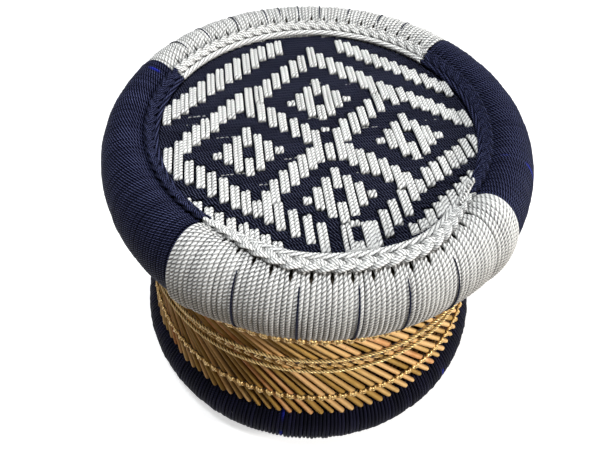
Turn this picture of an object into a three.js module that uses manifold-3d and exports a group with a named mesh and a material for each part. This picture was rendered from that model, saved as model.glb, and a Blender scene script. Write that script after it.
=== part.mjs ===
// Mudda stool: a waisted drum of slanting reeds between two cord-wrapped rings, with a woven cord seat.
// Millimetres, +Z up. The origin is on the floor, under the middle of the seat. The front faces -Y.
import * as THREE from "three";
import { mergeVertices } from "three/addons/utils/BufferGeometryUtils.js";
import Module from "manifold-3d";

const wasm = await Module();
wasm.setup();

// Driving sizes of the whole stool
const outerRadius = 200;
const stoolHeight = 309;
const rimHalfWidth = 28;
const rimHalfHeight = 43;
const baseHalfSize = 35;
const fitGap = 0.3;

// Cord windings round both rings: each loop is one bundle of turns, between two marker threads
const bundleThickness = 3.4;
const bundleEdgeDrop = 0.8;
const bundleGap = 1;
const joinGap = 1;
const rimBundles = 32;
const baseBundles = 18;
const sectionSteps = 11;
const crossingSteps = 5;
const footCut = 0.5;
const footFlatDegrees = 7;
const cutOverrun = 5;
const ringSegments = 24;

// Colours change at four places round the rim, counted in bundles from the front left
const firstChangeDegrees = -125;
const rimParts = [
  { place: "front", colour: "white", bundles: 8 },
  { place: "right", colour: "navy", bundles: 7 },
  { place: "back", colour: "white", bundles: 10 },
  { place: "left", colour: "navy", bundles: 7 },
];

// Reeds of the two crossing layers
const outerReedCount = 108;
const innerReedCount = 54;
const reedRadius = 3.1;
const waistInset = 28;
const waistRiseShare = 0.58;
const reedShift = 111;
const layerGap = 1;
const reedEndGap = 0.6;
const lacingHeight = 10;
const lacingCover = 0.7;

// Cords tied round the reeds
const waistCordRadius = 2.2;
const waistCordSpread = 10;
const hoopSegments = 54;
const knotHalfHeight = 3.4;
const knotDepth = 4.4;
const tieHalfHeight = 1.5;
const tieDepth = 2.2;
const upperKnotDrop = 9;
const lowerKnotRise = 27;

// Seat, and the trims that hide its edge
const seatDrop = 17;
const seatThickness = 9;
const seatSegments = 64;
const ledgeDrop = 0.4;
const edgeCordRadius = 3.2;
const braidHalfWidth = 7;
const braidHalfThickness = 2.8;
const trimStepsPerBundle = 2;
const climbStepsPerBundle = 4;
const cordSides = 5;
const braidSides = 6;
const climbRunShare = 0.35;
const trimStartShare = 1.4;
const outlineSteps = 24;

// Places worked out from the driving sizes
const fullTurn = 2 * Math.PI;
const waistRadius = outerRadius - waistInset;
const betweenRings = stoolHeight - 2 * rimHalfHeight - 2 * baseHalfSize;
const waistHeight = 2 * baseHalfSize + waistRiseShare * betweenRings;
const slant = reedShift / betweenRings;
const footFlat = THREE.MathUtils.degToRad(footFlatDegrees);
const innerWaistRadius = waistRadius - 2 * reedRadius - layerGap;
const seatTop = stoolHeight - seatDrop;
const rimPitch = fullTurn / rimBundles;

// Finishes
const finish = (color, roughness) => new THREE.MeshStandardMaterial({ color, roughness, metalness: 0 });
const cordFinishes = { white: finish(0xe6e6e2, 0.55), navy: finish(0x14163a, 0.5) };
const blackCord = finish(0x0b0c1a, 0.55);
const seatWeave = finish(0x1b1d40, 0.6);
const goldCord = finish(0xd0ab68, 0.45);
const reedSkin = finish(0xd9b272, 0.5);
const innerReedSkin = finish(0x8f6a3c, 0.6);
const grassCore = finish(0xa98c58, 0.9);

const stool = new THREE.Group();

function addPiece(name, geometry, material) {
  const mesh = new THREE.Mesh(geometry, material);
  mesh.name = name;
  stool.add(mesh);
}

// The point at a given angle round the stool, distance from its axis and height
const around = (angle, place) =>
  new THREE.Vector3(place.radius * Math.cos(angle), place.radius * Math.sin(angle), place.height);

// A closed skin over rings of points. Each ring's points run counter-clockwise, seen from the ring after it.
// The last ring meets the first where the form is a loop; otherwise both ends are capped.
function skinOver(rings, isLoop) {
  const sides = rings[0].length;
  const faces = [];
  const spans = isLoop ? rings.length : rings.length - 1;
  for (let ring = 0; ring < spans; ring++) {
    const here = ring * sides;
    const next = ((ring + 1) % rings.length) * sides;
    for (let side = 0; side < sides; side++) {
      const beside = (side + 1) % sides;
      faces.push(here + side, here + beside, next + beside);
      faces.push(here + side, next + beside, next + side);
    }
  }
  const last = (rings.length - 1) * sides;
  for (let side = 1; side < sides - 1 && !isLoop; side++) {
    faces.push(0, side + 1, side);
    faces.push(last, last + side, last + side + 1);
  }
  const positions = rings.flat().flatMap((point) => point.toArray());
  const geometry = new THREE.BufferGeometry();
  geometry.setAttribute("position", new THREE.Float32BufferAttribute(positions, 3));
  geometry.setIndex(faces);
  return geometry;
}

function toSolid(geometry) {
  const bare = new THREE.BufferGeometry();
  bare.setAttribute("position", geometry.getAttribute("position"));
  bare.setIndex(geometry.getIndex());
  const merged = mergeVertices(bare);
  const vertProperties = merged.getAttribute("position").array;
  const triVerts = new Uint32Array(merged.getIndex().array);
  return new wasm.Manifold(new wasm.Mesh({ numProp: 3, vertProperties, triVerts }));
}

function toGeometry(solid) {
  const mesh = solid.getMesh();
  const geometry = new THREE.BufferGeometry();
  geometry.setAttribute("position", new THREE.BufferAttribute(mesh.vertProperties, 3));
  geometry.setIndex(new THREE.BufferAttribute(mesh.triVerts, 1));
  return geometry;
}

// The section of each ring is an upright ellipse. Its turns run from underneath, outwards, over the top and
// back inside; the base ring has a short level step underneath, where it stands.
const bottomTurn = -Math.PI / 2;
const rimTurns = [];
const baseTurns = [bottomTurn - footFlat];
for (let step = 0; step <= sectionSteps; step++) {
  rimTurns.push(bottomTurn + (step / sectionSteps) * fullTurn);
}
for (let step = 0; step < sectionSteps; step++) {
  baseTurns.push(bottomTurn + footFlat + (step / (sectionSteps - 1)) * (fullTurn - 2 * footFlat));
}
const rim = {
  radius: outerRadius - rimHalfWidth,
  height: stoolHeight - rimHalfHeight,
  wide: rimHalfWidth,
  tall: rimHalfHeight,
  turns: rimTurns,
};
const base = {
  radius: outerRadius - baseHalfSize,
  height: baseHalfSize * Math.cos(footFlat) - footCut,
  wide: baseHalfSize,
  tall: baseHalfSize,
  turns: baseTurns,
};

// A place on a ring's section, or below its face by a depth
function onSection(section, turn, depth) {
  const across = Math.cos(turn) / section.wide;
  const up = Math.sin(turn) / section.tall;
  const length = Math.hypot(across, up);
  return {
    radius: section.radius + section.wide * Math.cos(turn) - (depth * across) / length,
    height: section.height + section.tall * Math.sin(turn) - (depth * up) / length,
  };
}

// The flat facets of a ring's section, each from one step of its turns to the next
function facetsOf(section) {
  const corners = section.turns.map((turn) => onSection(section, turn, 0));
  return corners.slice(1).map((end, index) => {
    const start = corners[index];
    const length = Math.hypot(end.radius - start.radius, end.height - start.height);
    const across = (end.radius - start.radius) / length;
    const up = (end.height - start.height) / length;
    return { start, end, along: { radius: across, height: up }, length };
  });
}

// How far a place is from the nearest facet of a ring
function clearOf(section, place) {
  let least = Infinity;
  section.facets ??= facetsOf(section);
  for (const facet of section.facets) {
    const across = place.radius - facet.start.radius;
    const up = place.height - facet.start.height;
    const reached = across * facet.along.radius + up * facet.along.height;
    const share = THREE.MathUtils.clamp(reached, 0, facet.length);
    const away = Math.hypot(across - share * facet.along.radius, up - share * facet.along.height);
    least = Math.min(least, away);
  }
  return least;
}

// The share of a way into a ring that a piece can go, while all its places stay a given distance away
const approachSteps = 2000;
function shareReached(section, placesAt, distance) {
  const isFar = (place) => clearOf(section, place) > distance;
  const isClear = (step) => placesAt(step / approachSteps).every(isFar);
  let step = 0;
  while (step < approachSteps && isClear(step + 1)) {
    step++;
  }
  return step / approachSteps;
}

// How far out a piece can lie at a given height, inside the rim, to rest against it at a given distance
function radiusInRim(height, distance) {
  const placesAt = (share) => [{ radius: share * rim.radius, height }];
  return rim.radius * shareReached(rim, placesAt, distance);
}

// One unbroken winding: each loop runs square round its ring, and steps aside to the next loop on the inner
// side. Its section is a flat bundle, thickest in the middle. It ends just short of the next winding.
function winding(section, loops, pitch, startAngle) {
  const steps = section.turns.length - 1;
  const rings = [];
  for (let count = 0; count <= loops * steps; count++) {
    const step = count % steps;
    const turn = section.turns[step];
    const aside = Math.max(0, step - steps + crossingSteps) / crossingSteps;
    const middle = startAngle + (Math.floor(count / steps) + 1 / 2 + aside) * pitch;
    const inner = onSection(section, turn, bundleThickness);
    const edge = onSection(section, turn, bundleEdgeDrop);
    const crown = onSection(section, turn, 0);
    const reach = pitch / 2 - bundleGap / 2 / inner.radius;
    rings.push([
      around(middle - reach, inner),
      around(middle - reach, edge),
      around(middle, crown),
      around(middle + reach, edge),
      around(middle + reach, inner),
    ]);
  }
  const [beforeEnd, end] = rings.slice(-2);
  end.forEach((point, side) => {
    const back = beforeEnd[side].clone().sub(point).setLength(joinGap);
    point.add(back);
  });
  return rings;
}

// The least gap from the points on one side of each loop to the facing side of the next loop
function leastGap(rings, steps) {
  const nearest = new THREE.Vector3();
  let least = Infinity;
  for (let ring = 0; ring + steps < rings.length - 1; ring++) {
    for (const [side, facing] of [[4, 0], [3, 1]]) {
      const line = new THREE.Line3(rings[ring + steps][facing], rings[ring + steps + 1][facing]);
      for (const point of [rings[ring][side], rings[ring + 1][side]]) {
        line.closestPointToPoint(point, true, nearest);
        least = Math.min(least, nearest.distanceTo(point));
      }
    }
  }
  return least;
}

function printGap(name, rings, section) {
  const gap = leastGap(rings, section.turns.length - 1);
  console.log(`${name}: the least gap between its loops is ${gap.toFixed(2)} mm`);
}

// The grass bundle inside a ring: it clears the flat inner face of each loop
function ringCore(section, bundles) {
  const chordDrop = outerRadius * (1 - Math.cos(Math.PI / bundles));
  const depth = bundleThickness + chordDrop + 2 * fitGap;
  const corners = section.turns.slice(1).map((turn) => onSection(section, turn, depth));
  return hoop(corners, ringSegments);
}

// A hoop round the stool through the corners of its section
function hoop(corners, segments) {
  const rings = [];
  for (let segment = 0; segment < segments; segment++) {
    const angle = (segment / segments) * fullTurn;
    rings.push(corners.map((corner) => around(-angle, corner)));
  }
  return skinOver(rings, true);
}

function addRings() {
  addPiece("rim_core", ringCore(rim, rimBundles), grassCore);
  let startAngle = THREE.MathUtils.degToRad(firstChangeDegrees);
  for (const part of rimParts) {
    const name = `rim_wrap_${part.colour}_${part.place}`;
    const rings = winding(rim, part.bundles, rimPitch, startAngle);
    printGap(name, rings, rim);
    addPiece(name, skinOver(rings, false), cordFinishes[part.colour]);
    startAngle += part.bundles * rimPitch;
  }
  addPiece("base_core", ringCore(base, baseBundles), grassCore);
  const basePitch = fullTurn / baseBundles;
  const baseRings = winding(base, baseBundles, basePitch, bottomTurn - basePitch / 2);
  printGap("base_wrap", baseRings, base);
  const floorSide = 2 * outerRadius + cutOverrun;
  const underFloor = new THREE.BoxGeometry(floorSide, floorSide, cutOverrun).translate(0, 0, -cutOverrun / 2);
  const footed = toSolid(skinOver(baseRings, false)).subtract(toSolid(underFloor));
  addPiece("base_wrap", toGeometry(footed), blackCord);
}

// How far a slanting reed of a layer is from the axis at a given height: least at the waist
const layerRadius = (throat, height) => Math.hypot(throat, slant * (height - waistHeight));

// The corners of one reed of a layer, where its middle is at a given height
function reedRing(layer, index, height) {
  const angle = (index / layer.count) * fullTurn;
  const outward = new THREE.Vector3(Math.cos(angle), Math.sin(angle), 0);
  const aside = new THREE.Vector3(-outward.y, outward.x, 0);
  const rising = new THREE.Vector3(0, 0, 1).addScaledVector(aside, -layer.sense * slant);
  const middle = new THREE.Vector3(0, 0, waistHeight);
  middle.addScaledVector(outward, layer.throat).addScaledVector(rising, height - waistHeight);
  const sideways = rising.clone().normalize().cross(outward);
  const corners = [];
  for (let side = 0; side < layer.sides; side++) {
    const turn = ((side + 1 / 2) / layer.sides) * fullTurn;
    const corner = middle.clone().addScaledVector(outward, reedRadius * Math.cos(turn));
    corners.push(corner.addScaledVector(sideways, reedRadius * Math.sin(turn)));
  }
  return corners;
}

// The height where the reeds of a layer end: their corners just clear the ring above or below them
function reedEnd(section, layer) {
  const heightAt = (share) => THREE.MathUtils.lerp(waistHeight, section.height, share);
  const placeOf = (corner) => ({ radius: Math.hypot(corner.x, corner.y), height: corner.z });
  const placesAt = (share) => reedRing(layer, 0, heightAt(share)).map(placeOf);
  return heightAt(shareReached(section, placesAt, reedEndGap));
}

// A layer of reeds, held by the lacing that is twined in front of and behind each reed at the waist
function addReedLayer(name, layer, material) {
  const bottom = reedEnd(base, layer);
  const top = reedEnd(rim, layer);
  const inside = layer.throat - reedRadius - lacingCover / 2;
  const outside = layer.throat + layer.lacingReach;
  const lacing = hoop(
    [
      { radius: outside, height: waistHeight - lacingHeight / 2 },
      { radius: outside, height: waistHeight + lacingHeight / 2 },
      { radius: inside, height: waistHeight + lacingHeight / 2 },
      { radius: inside, height: waistHeight - lacingHeight / 2 },
    ],
    layer.lacingSegments,
  );
  const solids = [toSolid(lacing)];
  for (let index = 0; index < layer.count; index++) {
    const reed = skinOver([reedRing(layer, index, bottom), reedRing(layer, index, top)], false);
    solids.push(toSolid(reed));
  }
  addPiece(name, toGeometry(wasm.Manifold.union(solids)), material);
}

// A twisted cord round the waist, resting on the outer faces of the reeds
function addWaistCord(name, height) {
  const chordDrop = waistRadius * (1 - Math.cos(Math.PI / hoopSegments));
  const radius = layerRadius(waistRadius, height) + reedRadius + chordDrop + waistCordRadius;
  const corners = [];
  for (let side = 0; side < cordSides; side++) {
    const turn = ((side + 1 / 2) / cordSides) * fullTurn;
    corners.push({
      radius: radius + waistCordRadius * Math.cos(turn),
      height: height + waistCordRadius * Math.sin(turn),
    });
  }
  addPiece(name, hoop(corners, hoopSegments), goldCord);
}

// A row of knots: a cord that lies against the reeds and is thick where it is tied round each of them
function addKnotRow(name, height) {
  const sideways = -slant * (height - waistHeight);
  const shift = Math.atan2(sideways, waistRadius);
  const rings = [];
  for (let half = 0; half < 2 * outerReedCount; half++) {
    const angle = shift - (half / 2 / outerReedCount) * fullTurn;
    const isKnot = half % 2 === 0;
    const halfHeight = isKnot ? knotHalfHeight : tieHalfHeight;
    const depth = isKnot ? knotDepth : tieDepth;
    const backRadius = (edge) => layerRadius(waistRadius, edge) + reedRadius + fitGap;
    const placeAt = (edge, lift) => around(angle, { radius: backRadius(edge) + lift, height: edge });
    rings.push([placeAt(height - halfHeight, 0), placeAt(height, depth), placeAt(height + halfHeight, 0)]);
  }
  addPiece(name, skinOver(rings, true), goldCord);
}

function addReeds() {
  const outerLayer = {
    throat: waistRadius,
    sense: 1,
    count: outerReedCount,
    sides: 5,
    lacingReach: reedRadius + lacingCover,
    lacingSegments: 54,
  };
  const innerLayer = {
    throat: innerWaistRadius,
    sense: -1,
    count: innerReedCount,
    sides: 4,
    lacingReach: reedRadius / 2,
    lacingSegments: 36,
  };
  addReedLayer("outer_reeds", outerLayer, reedSkin);
  addReedLayer("inner_reeds", innerLayer, innerReedSkin);
  addWaistCord("waist_cord_upper", waistHeight + waistCordSpread);
  addWaistCord("waist_cord_lower", waistHeight - waistCordSpread);
  addKnotRow("upper_knot_row", rim.height - rim.tall - upperKnotDrop);
  addKnotRow("lower_knot_row", base.height + base.tall + lowerKnotRise);
}

// The middle of the twisted cord that lies on the ledge of the seat, against the inner slope of the rim
function edgeCordPlace() {
  const height = seatTop - ledgeDrop + fitGap + edgeCordRadius;
  return { radius: radiusInRim(height, fitGap + edgeCordRadius), height };
}

// The seat is a disc of woven cord. Its edge rests on the inner slope of the rim, and has a shallow ledge on top
function addSeat() {
  const seatBottom = seatTop - seatThickness;
  const ledge = seatTop - ledgeDrop;
  const faceRadius = edgeCordPlace().radius - edgeCordRadius - fitGap;
  const profile = [
    new THREE.Vector2(0, seatBottom),
    new THREE.Vector2(radiusInRim(seatBottom, fitGap), seatBottom),
    new THREE.Vector2(radiusInRim(ledge, fitGap), ledge),
    new THREE.Vector2(faceRadius, ledge),
    new THREE.Vector2(faceRadius, seatTop),
    new THREE.Vector2(0, seatTop),
  ];
  addPiece("woven_seat", new THREE.LatheGeometry(profile, seatSegments).rotateX(Math.PI / 2), seatWeave);
}

// A place part of the way from one place to another
const between = (start, end, share) => ({
  radius: THREE.MathUtils.lerp(start.radius, end.radius, share),
  height: THREE.MathUtils.lerp(start.height, end.height, share),
});

// A point on the oval section of a trim, which leans along its slope
function onTrim(trim, centre, along, turn) {
  const wide = trim.halfWidth * Math.cos(turn);
  const thick = trim.halfThickness * Math.sin(turn);
  return {
    radius: centre.radius + wide * along.radius - thick * along.height,
    height: centre.height + wide * along.height + thick * along.radius,
  };
}

// Where a trim lies when it has climbed a share of the way from the inner slope to the crest of the rim. It comes
// down towards the middle of the rim's section until it rests on the rim.
function trimPlace(trim, share) {
  if (share === 0) {
    return { centre: trim.low, along: trim.uphill };
  }
  const aim = between(trim.low, trim.crest, share);
  const lean = between(trim.uphill, { radius: 1, height: 0 }, share);
  const length = Math.hypot(lean.radius, lean.height);
  const along = { radius: lean.radius / length, height: lean.height / length };
  const far = between(rim, aim, trimStartShare);
  const placesAt = (approach) => {
    const centre = between(far, rim, approach);
    const outline = Array.from({ length: outlineSteps }, (_, step) => (step / outlineSteps) * fullTurn);
    return outline.map((turn) => onTrim(trim, centre, along, turn));
  };
  return { centre: between(far, rim, shareReached(rim, placesAt, fitGap)), along };
}

// The part of a trim that runs along one colour of the rim. Along the front it climbs to the crest of the rim
function trimArc(trim, run) {
  const ease = joinGap / 2 / trim.low.radius;
  const length = run.bundles * rimPitch - 2 * ease;
  const steps = run.bundles * (run.climbs ? climbStepsPerBundle : trimStepsPerBundle);
  const rings = [];
  for (let step = steps; step >= 0; step--) {
    const angle = run.startAngle + ease + (step / steps) * length;
    const fromEnd = Math.min(step, steps - step) / steps / climbRunShare;
    const share = run.climbs ? THREE.MathUtils.smoothstep(fromEnd, 0, 1) : 0;
    const { centre, along } = trimPlace(trim, share);
    const points = [];
    for (let side = 0; side < trim.sides; side++) {
      points.push(around(angle, onTrim(trim, centre, along, ((side + 1 / 2) / trim.sides) * fullTurn)));
    }
    rings.push(points);
  }
  return skinOver(rings, false);
}

// A twisted cord covers the edge of the seat, and a chain braid lies beside it on the rim
function addTrims() {
  const low = edgeCordPlace();
  const isInnerTop = (facet) => facet.start.radius < rim.radius && facet.start.height > rim.height;
  const slope = facetsOf(rim).find(isInnerTop);
  const uphill = { radius: -slope.along.radius, height: -slope.along.height };
  const across = low.radius - slope.end.radius;
  const up = low.height - slope.end.height;
  const spacing = edgeCordRadius + fitGap + braidHalfWidth;
  const climb = across * uphill.radius + up * uphill.height + spacing;
  const lift = braidHalfThickness + fitGap;
  const crestHeight = stoolHeight + lift;
  const cord = {
    low,
    crest: { radius: rim.radius - spacing, height: crestHeight },
    uphill,
    halfWidth: edgeCordRadius,
    halfThickness: edgeCordRadius,
    sides: cordSides,
  };
  const braid = {
    low: {
      radius: slope.end.radius + climb * uphill.radius - lift * uphill.height,
      height: slope.end.height + climb * uphill.height + lift * uphill.radius,
    },
    crest: { radius: rim.radius, height: crestHeight },
    uphill,
    halfWidth: braidHalfWidth,
    halfThickness: braidHalfThickness,
    sides: braidSides,
  };
  let startAngle = THREE.MathUtils.degToRad(firstChangeDegrees);
  for (const part of rimParts) {
    const material = cordFinishes[part.colour];
    const run = { startAngle, bundles: part.bundles, climbs: part.place === "front" };
    addPiece(`rim_braid_${part.colour}_${part.place}`, trimArc(braid, run), material);
    addPiece(`edge_cord_${part.colour}_${part.place}`, trimArc(cord, run), material);
    startAngle += part.bundles * rimPitch;
  }
}

addRings();
addReeds();
addSeat();
addTrims();

stool.updateMatrixWorld(true);
export default stool;
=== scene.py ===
"""Mudda stool: cord-wrapped rings, slanting reeds and a woven seat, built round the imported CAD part.

Sizes are in millimetres until a piece is made. Angles round the stool start at the X axis. Angles on a
ring's section start straight outward and turn upward.
"""
import math

import bpy
import numpy as np
from mathutils import Matrix, Vector


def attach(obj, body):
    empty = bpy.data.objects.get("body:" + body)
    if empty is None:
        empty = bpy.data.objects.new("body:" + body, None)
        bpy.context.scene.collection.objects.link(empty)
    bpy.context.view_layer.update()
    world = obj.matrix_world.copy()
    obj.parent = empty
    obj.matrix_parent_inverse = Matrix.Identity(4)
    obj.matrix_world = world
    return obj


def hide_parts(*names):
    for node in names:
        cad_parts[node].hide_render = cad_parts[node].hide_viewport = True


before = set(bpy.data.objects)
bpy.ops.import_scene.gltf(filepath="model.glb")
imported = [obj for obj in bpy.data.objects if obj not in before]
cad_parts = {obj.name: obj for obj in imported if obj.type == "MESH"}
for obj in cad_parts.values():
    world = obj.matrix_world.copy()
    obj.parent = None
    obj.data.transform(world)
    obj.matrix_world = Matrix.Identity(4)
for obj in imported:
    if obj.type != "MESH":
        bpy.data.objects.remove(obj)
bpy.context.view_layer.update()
SEED = 11
chance = np.random.default_rng(SEED)

# The stool's main sizes, as in the CAD part
MM = 0.001
RIM = {"radius": 172.0, "height": 266.0, "wide": 28.0, "tall": 43.0}
BASE = {"radius": 165.0, "height": 34.6, "wide": 35.0, "tall": 34.6}
WAIST_HEIGHT = 158.74
WAIST_RADIUS = 172.0
INNER_WAIST_RADIUS = 164.8
REED_RUN = 111.0
REED_RISE = 153.0
SLANT = REED_RUN / REED_RISE
SEAT_TOP = 292.0
SEAT_BOTTOM = 283.0
SEAT_EDGE = 146.5
UP = np.array([0.0, 0.0, 1.0])

# Plies of the cords, and the length in which each kind turns once
CORD_PLIES = 3
WHITE_LAY = 10.5
NAVY_LAY = 7.5
BASE_LAY = 9.0
# Sides of the thin cords, and the range of tints of the light ones
FINE_SIDES = 6
LIGHT_TINTS = (0.2, 1.0)

# Sockets of a Mix node that mixes colours
MIX_SHARE = 0
MIX_FIRST = 6
MIX_SECOND = 7
MIX_RESULT = 2


class Value:
    """A socket of a node tree that can be used in sums."""

    def __init__(self, nodes, socket):
        self.nodes = nodes
        self.socket = socket

    def maths(self, operation, *others):
        return self.nodes.node("ShaderNodeMath", [self, *others], operation=operation)

    def __add__(self, other):
        return self.maths("ADD", other)

    __radd__ = __add__

    def __mul__(self, other):
        return self.maths("MULTIPLY", other)

    __rmul__ = __mul__

    def __sub__(self, other):
        return self.maths("SUBTRACT", other)

    def __rsub__(self, other):
        return self.nodes.node("ShaderNodeMath", [other, self], operation="SUBTRACT")

    def __pow__(self, other):
        return self.maths("POWER", other)

    def fraction(self):
        return self.maths("FRACT")

    def size(self):
        return self.maths("ABSOLUTE")

    def output(self, name):
        """Another output of the node that this one comes from."""
        return Value(self.nodes, self.socket.node.outputs[name])


class Nodes:
    """A node tree whose nodes are all added by one method."""

    def __init__(self, tree):
        self.tree = tree

    def node(self, kind, inputs=(), result=0, stops=(), **settings):
        """Adds a node. Its settings and the stops of a ramp are set first, then its sockets."""
        made = self.tree.nodes.new(kind)
        for key, value in settings.items():
            setattr(made, key, value)
        for index, (place, *tone) in enumerate(stops):
            band = made.color_ramp.elements
            stop = band[index] if index < len(band) else band.new(place)
            stop.position = place
            stop.color = colour(*tone)
        named = inputs.items() if isinstance(inputs, dict) else enumerate(inputs)
        for key, value in named:
            self.join(made.inputs[key], value)
        return Value(self, made.outputs[result])

    def join(self, socket, value):
        if isinstance(value, Value):
            self.tree.links.new(value.socket, socket)
        else:
            socket.default_value = value

    def attribute(self, name):
        return self.node("ShaderNodeAttribute", attribute_name=name, result="Fac")

    def noise(self, place, fineness=1.0, detail=2.0, stretch=(1.0, 1.0, 1.0)):
        moved = self.node("ShaderNodeMapping", {"Vector": place, "Scale": stretch})
        return self.node("ShaderNodeTexNoise", {"Vector": moved, "Scale": fineness, "Detail": detail})

    def between(self, value, low, high):
        """0 up to low, 1 from high on, and even between them."""
        return self.node("ShaderNodeMapRange", {"Value": value, "From Min": low, "From Max": high})

    def blend(self, share, first, second, way="MIX"):
        inputs = {MIX_SHARE: share, MIX_FIRST: first, MIX_SECOND: second}
        return self.node("ShaderNodeMix", inputs, MIX_RESULT, data_type="RGBA", blend_type=way)

    def multiply(self, first, second):
        return self.blend(1.0, first, second, "MULTIPLY")

    def ramp(self, share, stops):
        return self.node("ShaderNodeValToRGB", [share], stops=stops)

    def bump(self, height, depth, strength=1.0):
        return self.node("ShaderNodeBump", {"Height": height, "Distance": depth * MM, "Strength": strength})


class Look(Nodes):
    """A material with one Principled surface."""

    def __init__(self, name, **settings):
        self.material = bpy.data.materials.new(name)
        self.material.use_nodes = True
        super().__init__(self.material.node_tree)
        self.surface = next(n for n in self.tree.nodes if n.type == "BSDF_PRINCIPLED")
        self.set(**settings)

    def set(self, **settings):
        for key, value in settings.items():
            name = key.replace("_", " ").title().replace("Ior", "IOR")
            self.join(self.surface.inputs[name], value)


def colour(red, green, blue):
    return (red, green, blue, 1.0)


class Skin:
    """Collects the tubes of one piece, then makes them into one mesh."""

    def __init__(self):
        self.points = []
        self.loops = []
        self.totals = []
        self.maps = []
        self.tints = []
        self.painted_shades = []
        self.count = 0

    def add(self, rings, lengths, tint, painted_shade=0.0):
        """Tubes with capped ends, from their rings of points and the length along each tube at its rings.
        The last
        value is painted shade: how far the finish darkens their colour.
        """
        rings = np.asarray(rings, float)
        if rings.ndim == 3:
            rings = rings[None]
        shape = rings.shape[:3]
        tubes, steps, sides = shape
        lengths = np.broadcast_to(np.asarray(lengths, float), (tubes, steps))
        number = np.arange(tubes * steps * sides).reshape(shape) + self.count
        self.count += number.size
        self.points.append(rings.reshape(-1, 3))
        tint = np.asarray(tint, float)
        if tint.ndim == 1:
            tint = tint[:, None, None]
        self.tints.append(np.broadcast_to(tint, shape).reshape(-1))
        self.painted_shades.append(np.broadcast_to(np.asarray(painted_shade, float), shape).reshape(-1))
        here = number[:, :-1]
        beyond = number[:, 1:]
        quads = np.stack([here, np.roll(here, -1, 2), np.roll(beyond, -1, 2), beyond], -1)
        self.loops.append(quads.reshape(-1))
        self.totals.append(np.full(quads.size // 4, 4))
        turns = np.arange(sides + 1) / sides
        low, high = turns[:-1], turns[1:]
        near, far = lengths[:, :-1, None], lengths[:, 1:, None]
        corners = [(near, low), (near, high), (far, high), (far, low)]
        whole = np.zeros(here.shape)
        maps = [np.stack(np.broadcast_arrays(along, turn, whole)[:2], -1) for along, turn in corners]
        self.maps.append(np.stack(maps, -2).reshape(-1, 2))
        for ring, step in ((number[:, 0, ::-1], 0), (number[:, -1], -1)):
            self.loops.append(ring.reshape(-1))
            self.totals.append(np.full(tubes, sides))
            ends = np.stack(np.broadcast_arrays(lengths[:, step, None], low), -1)
            self.maps.append(ends.reshape(-1, 2))

    def make(self, name, material, nodes=()):
        """One mesh of all tubes, with its map, tints and painted shades. It stands for the CAD nodes named.
        """
        mesh = bpy.data.meshes.new(name)
        points = np.concatenate(self.points) * MM
        loops = np.concatenate(self.loops)
        totals = np.concatenate(self.totals)
        mesh.vertices.add(len(points))
        mesh.vertices.foreach_set("co", points.reshape(-1))
        mesh.loops.add(len(loops))
        mesh.loops.foreach_set("vertex_index", loops.astype(np.int32))
        mesh.polygons.add(len(totals))
        starts = np.concatenate([[0], np.cumsum(totals)[:-1]])
        mesh.polygons.foreach_set("loop_start", starts.astype(np.int32))
        mesh.polygons.foreach_set("loop_total", totals.astype(np.int32))
        mesh.polygons.foreach_set("use_smooth", np.ones(len(totals), bool))
        layer = mesh.uv_layers.new(name="cord")
        layer.data.foreach_set("uv", np.concatenate(self.maps).reshape(-1))
        for key, values in (("tint", self.tints), ("painted_shade", self.painted_shades)):
            made = mesh.attributes.new(key, "FLOAT", "POINT")
            made.data.foreach_set("value", np.concatenate(values).astype(np.float32))
        mesh.update(calc_edges=True)
        mesh.validate()
        piece = bpy.data.objects.new(name, mesh)
        bpy.context.scene.collection.objects.link(piece)
        piece.data.materials.append(material)
        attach(piece, "root")
        if nodes:
            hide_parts(*nodes)


def unit(vectors):
    return vectors / np.linalg.norm(vectors, axis=-1, keepdims=True)


def lengths_of(path):
    steps = np.linalg.norm(np.diff(path, axis=-2), axis=-1)
    zero = np.zeros(path.shape[:-2] + (1,))
    return np.concatenate([zero, np.cumsum(steps, -1)], -1)


def smooth_step(low, high, value):
    share = np.clip((value - low) / (high - low), 0.0, 1.0)
    return share * share * (3.0 - 2.0 * share)


def round_tube(path, out, wide, thick, sides, plies=0, lay=1.0, lobe=0.0):
    """Rings of points round each path. out is roughly away from what the tube lies on."""
    path = np.asarray(path, float)
    ahead = unit(np.gradient(path, axis=-2))
    aside = unit(np.cross(ahead, out))
    up = np.cross(aside, ahead)
    turn = np.arange(sides) / sides * math.tau
    along = lengths_of(path)
    grow = 1.0 + lobe * np.cos(plies * (turn - along[..., None] / lay * math.tau))
    wide = np.broadcast_to(wide, along.shape)[..., None] * grow
    thick = np.broadcast_to(thick, along.shape)[..., None] * grow
    rings = (
        path[..., None, :]
        + aside[..., None, :] * (wide * np.cos(turn))[..., None]
        + up[..., None, :] * (thick * np.sin(turn))[..., None]
    )
    return rings, along


# A rope's strands vary in tint by this either way, and how fast painted shade darkens them towards its
# valleys, on the sides that face into the rope
ROPE_TINT_SPREAD = 0.15
ROPE_VALLEY_SHADE_STEEPNESS = 1.6


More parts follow.
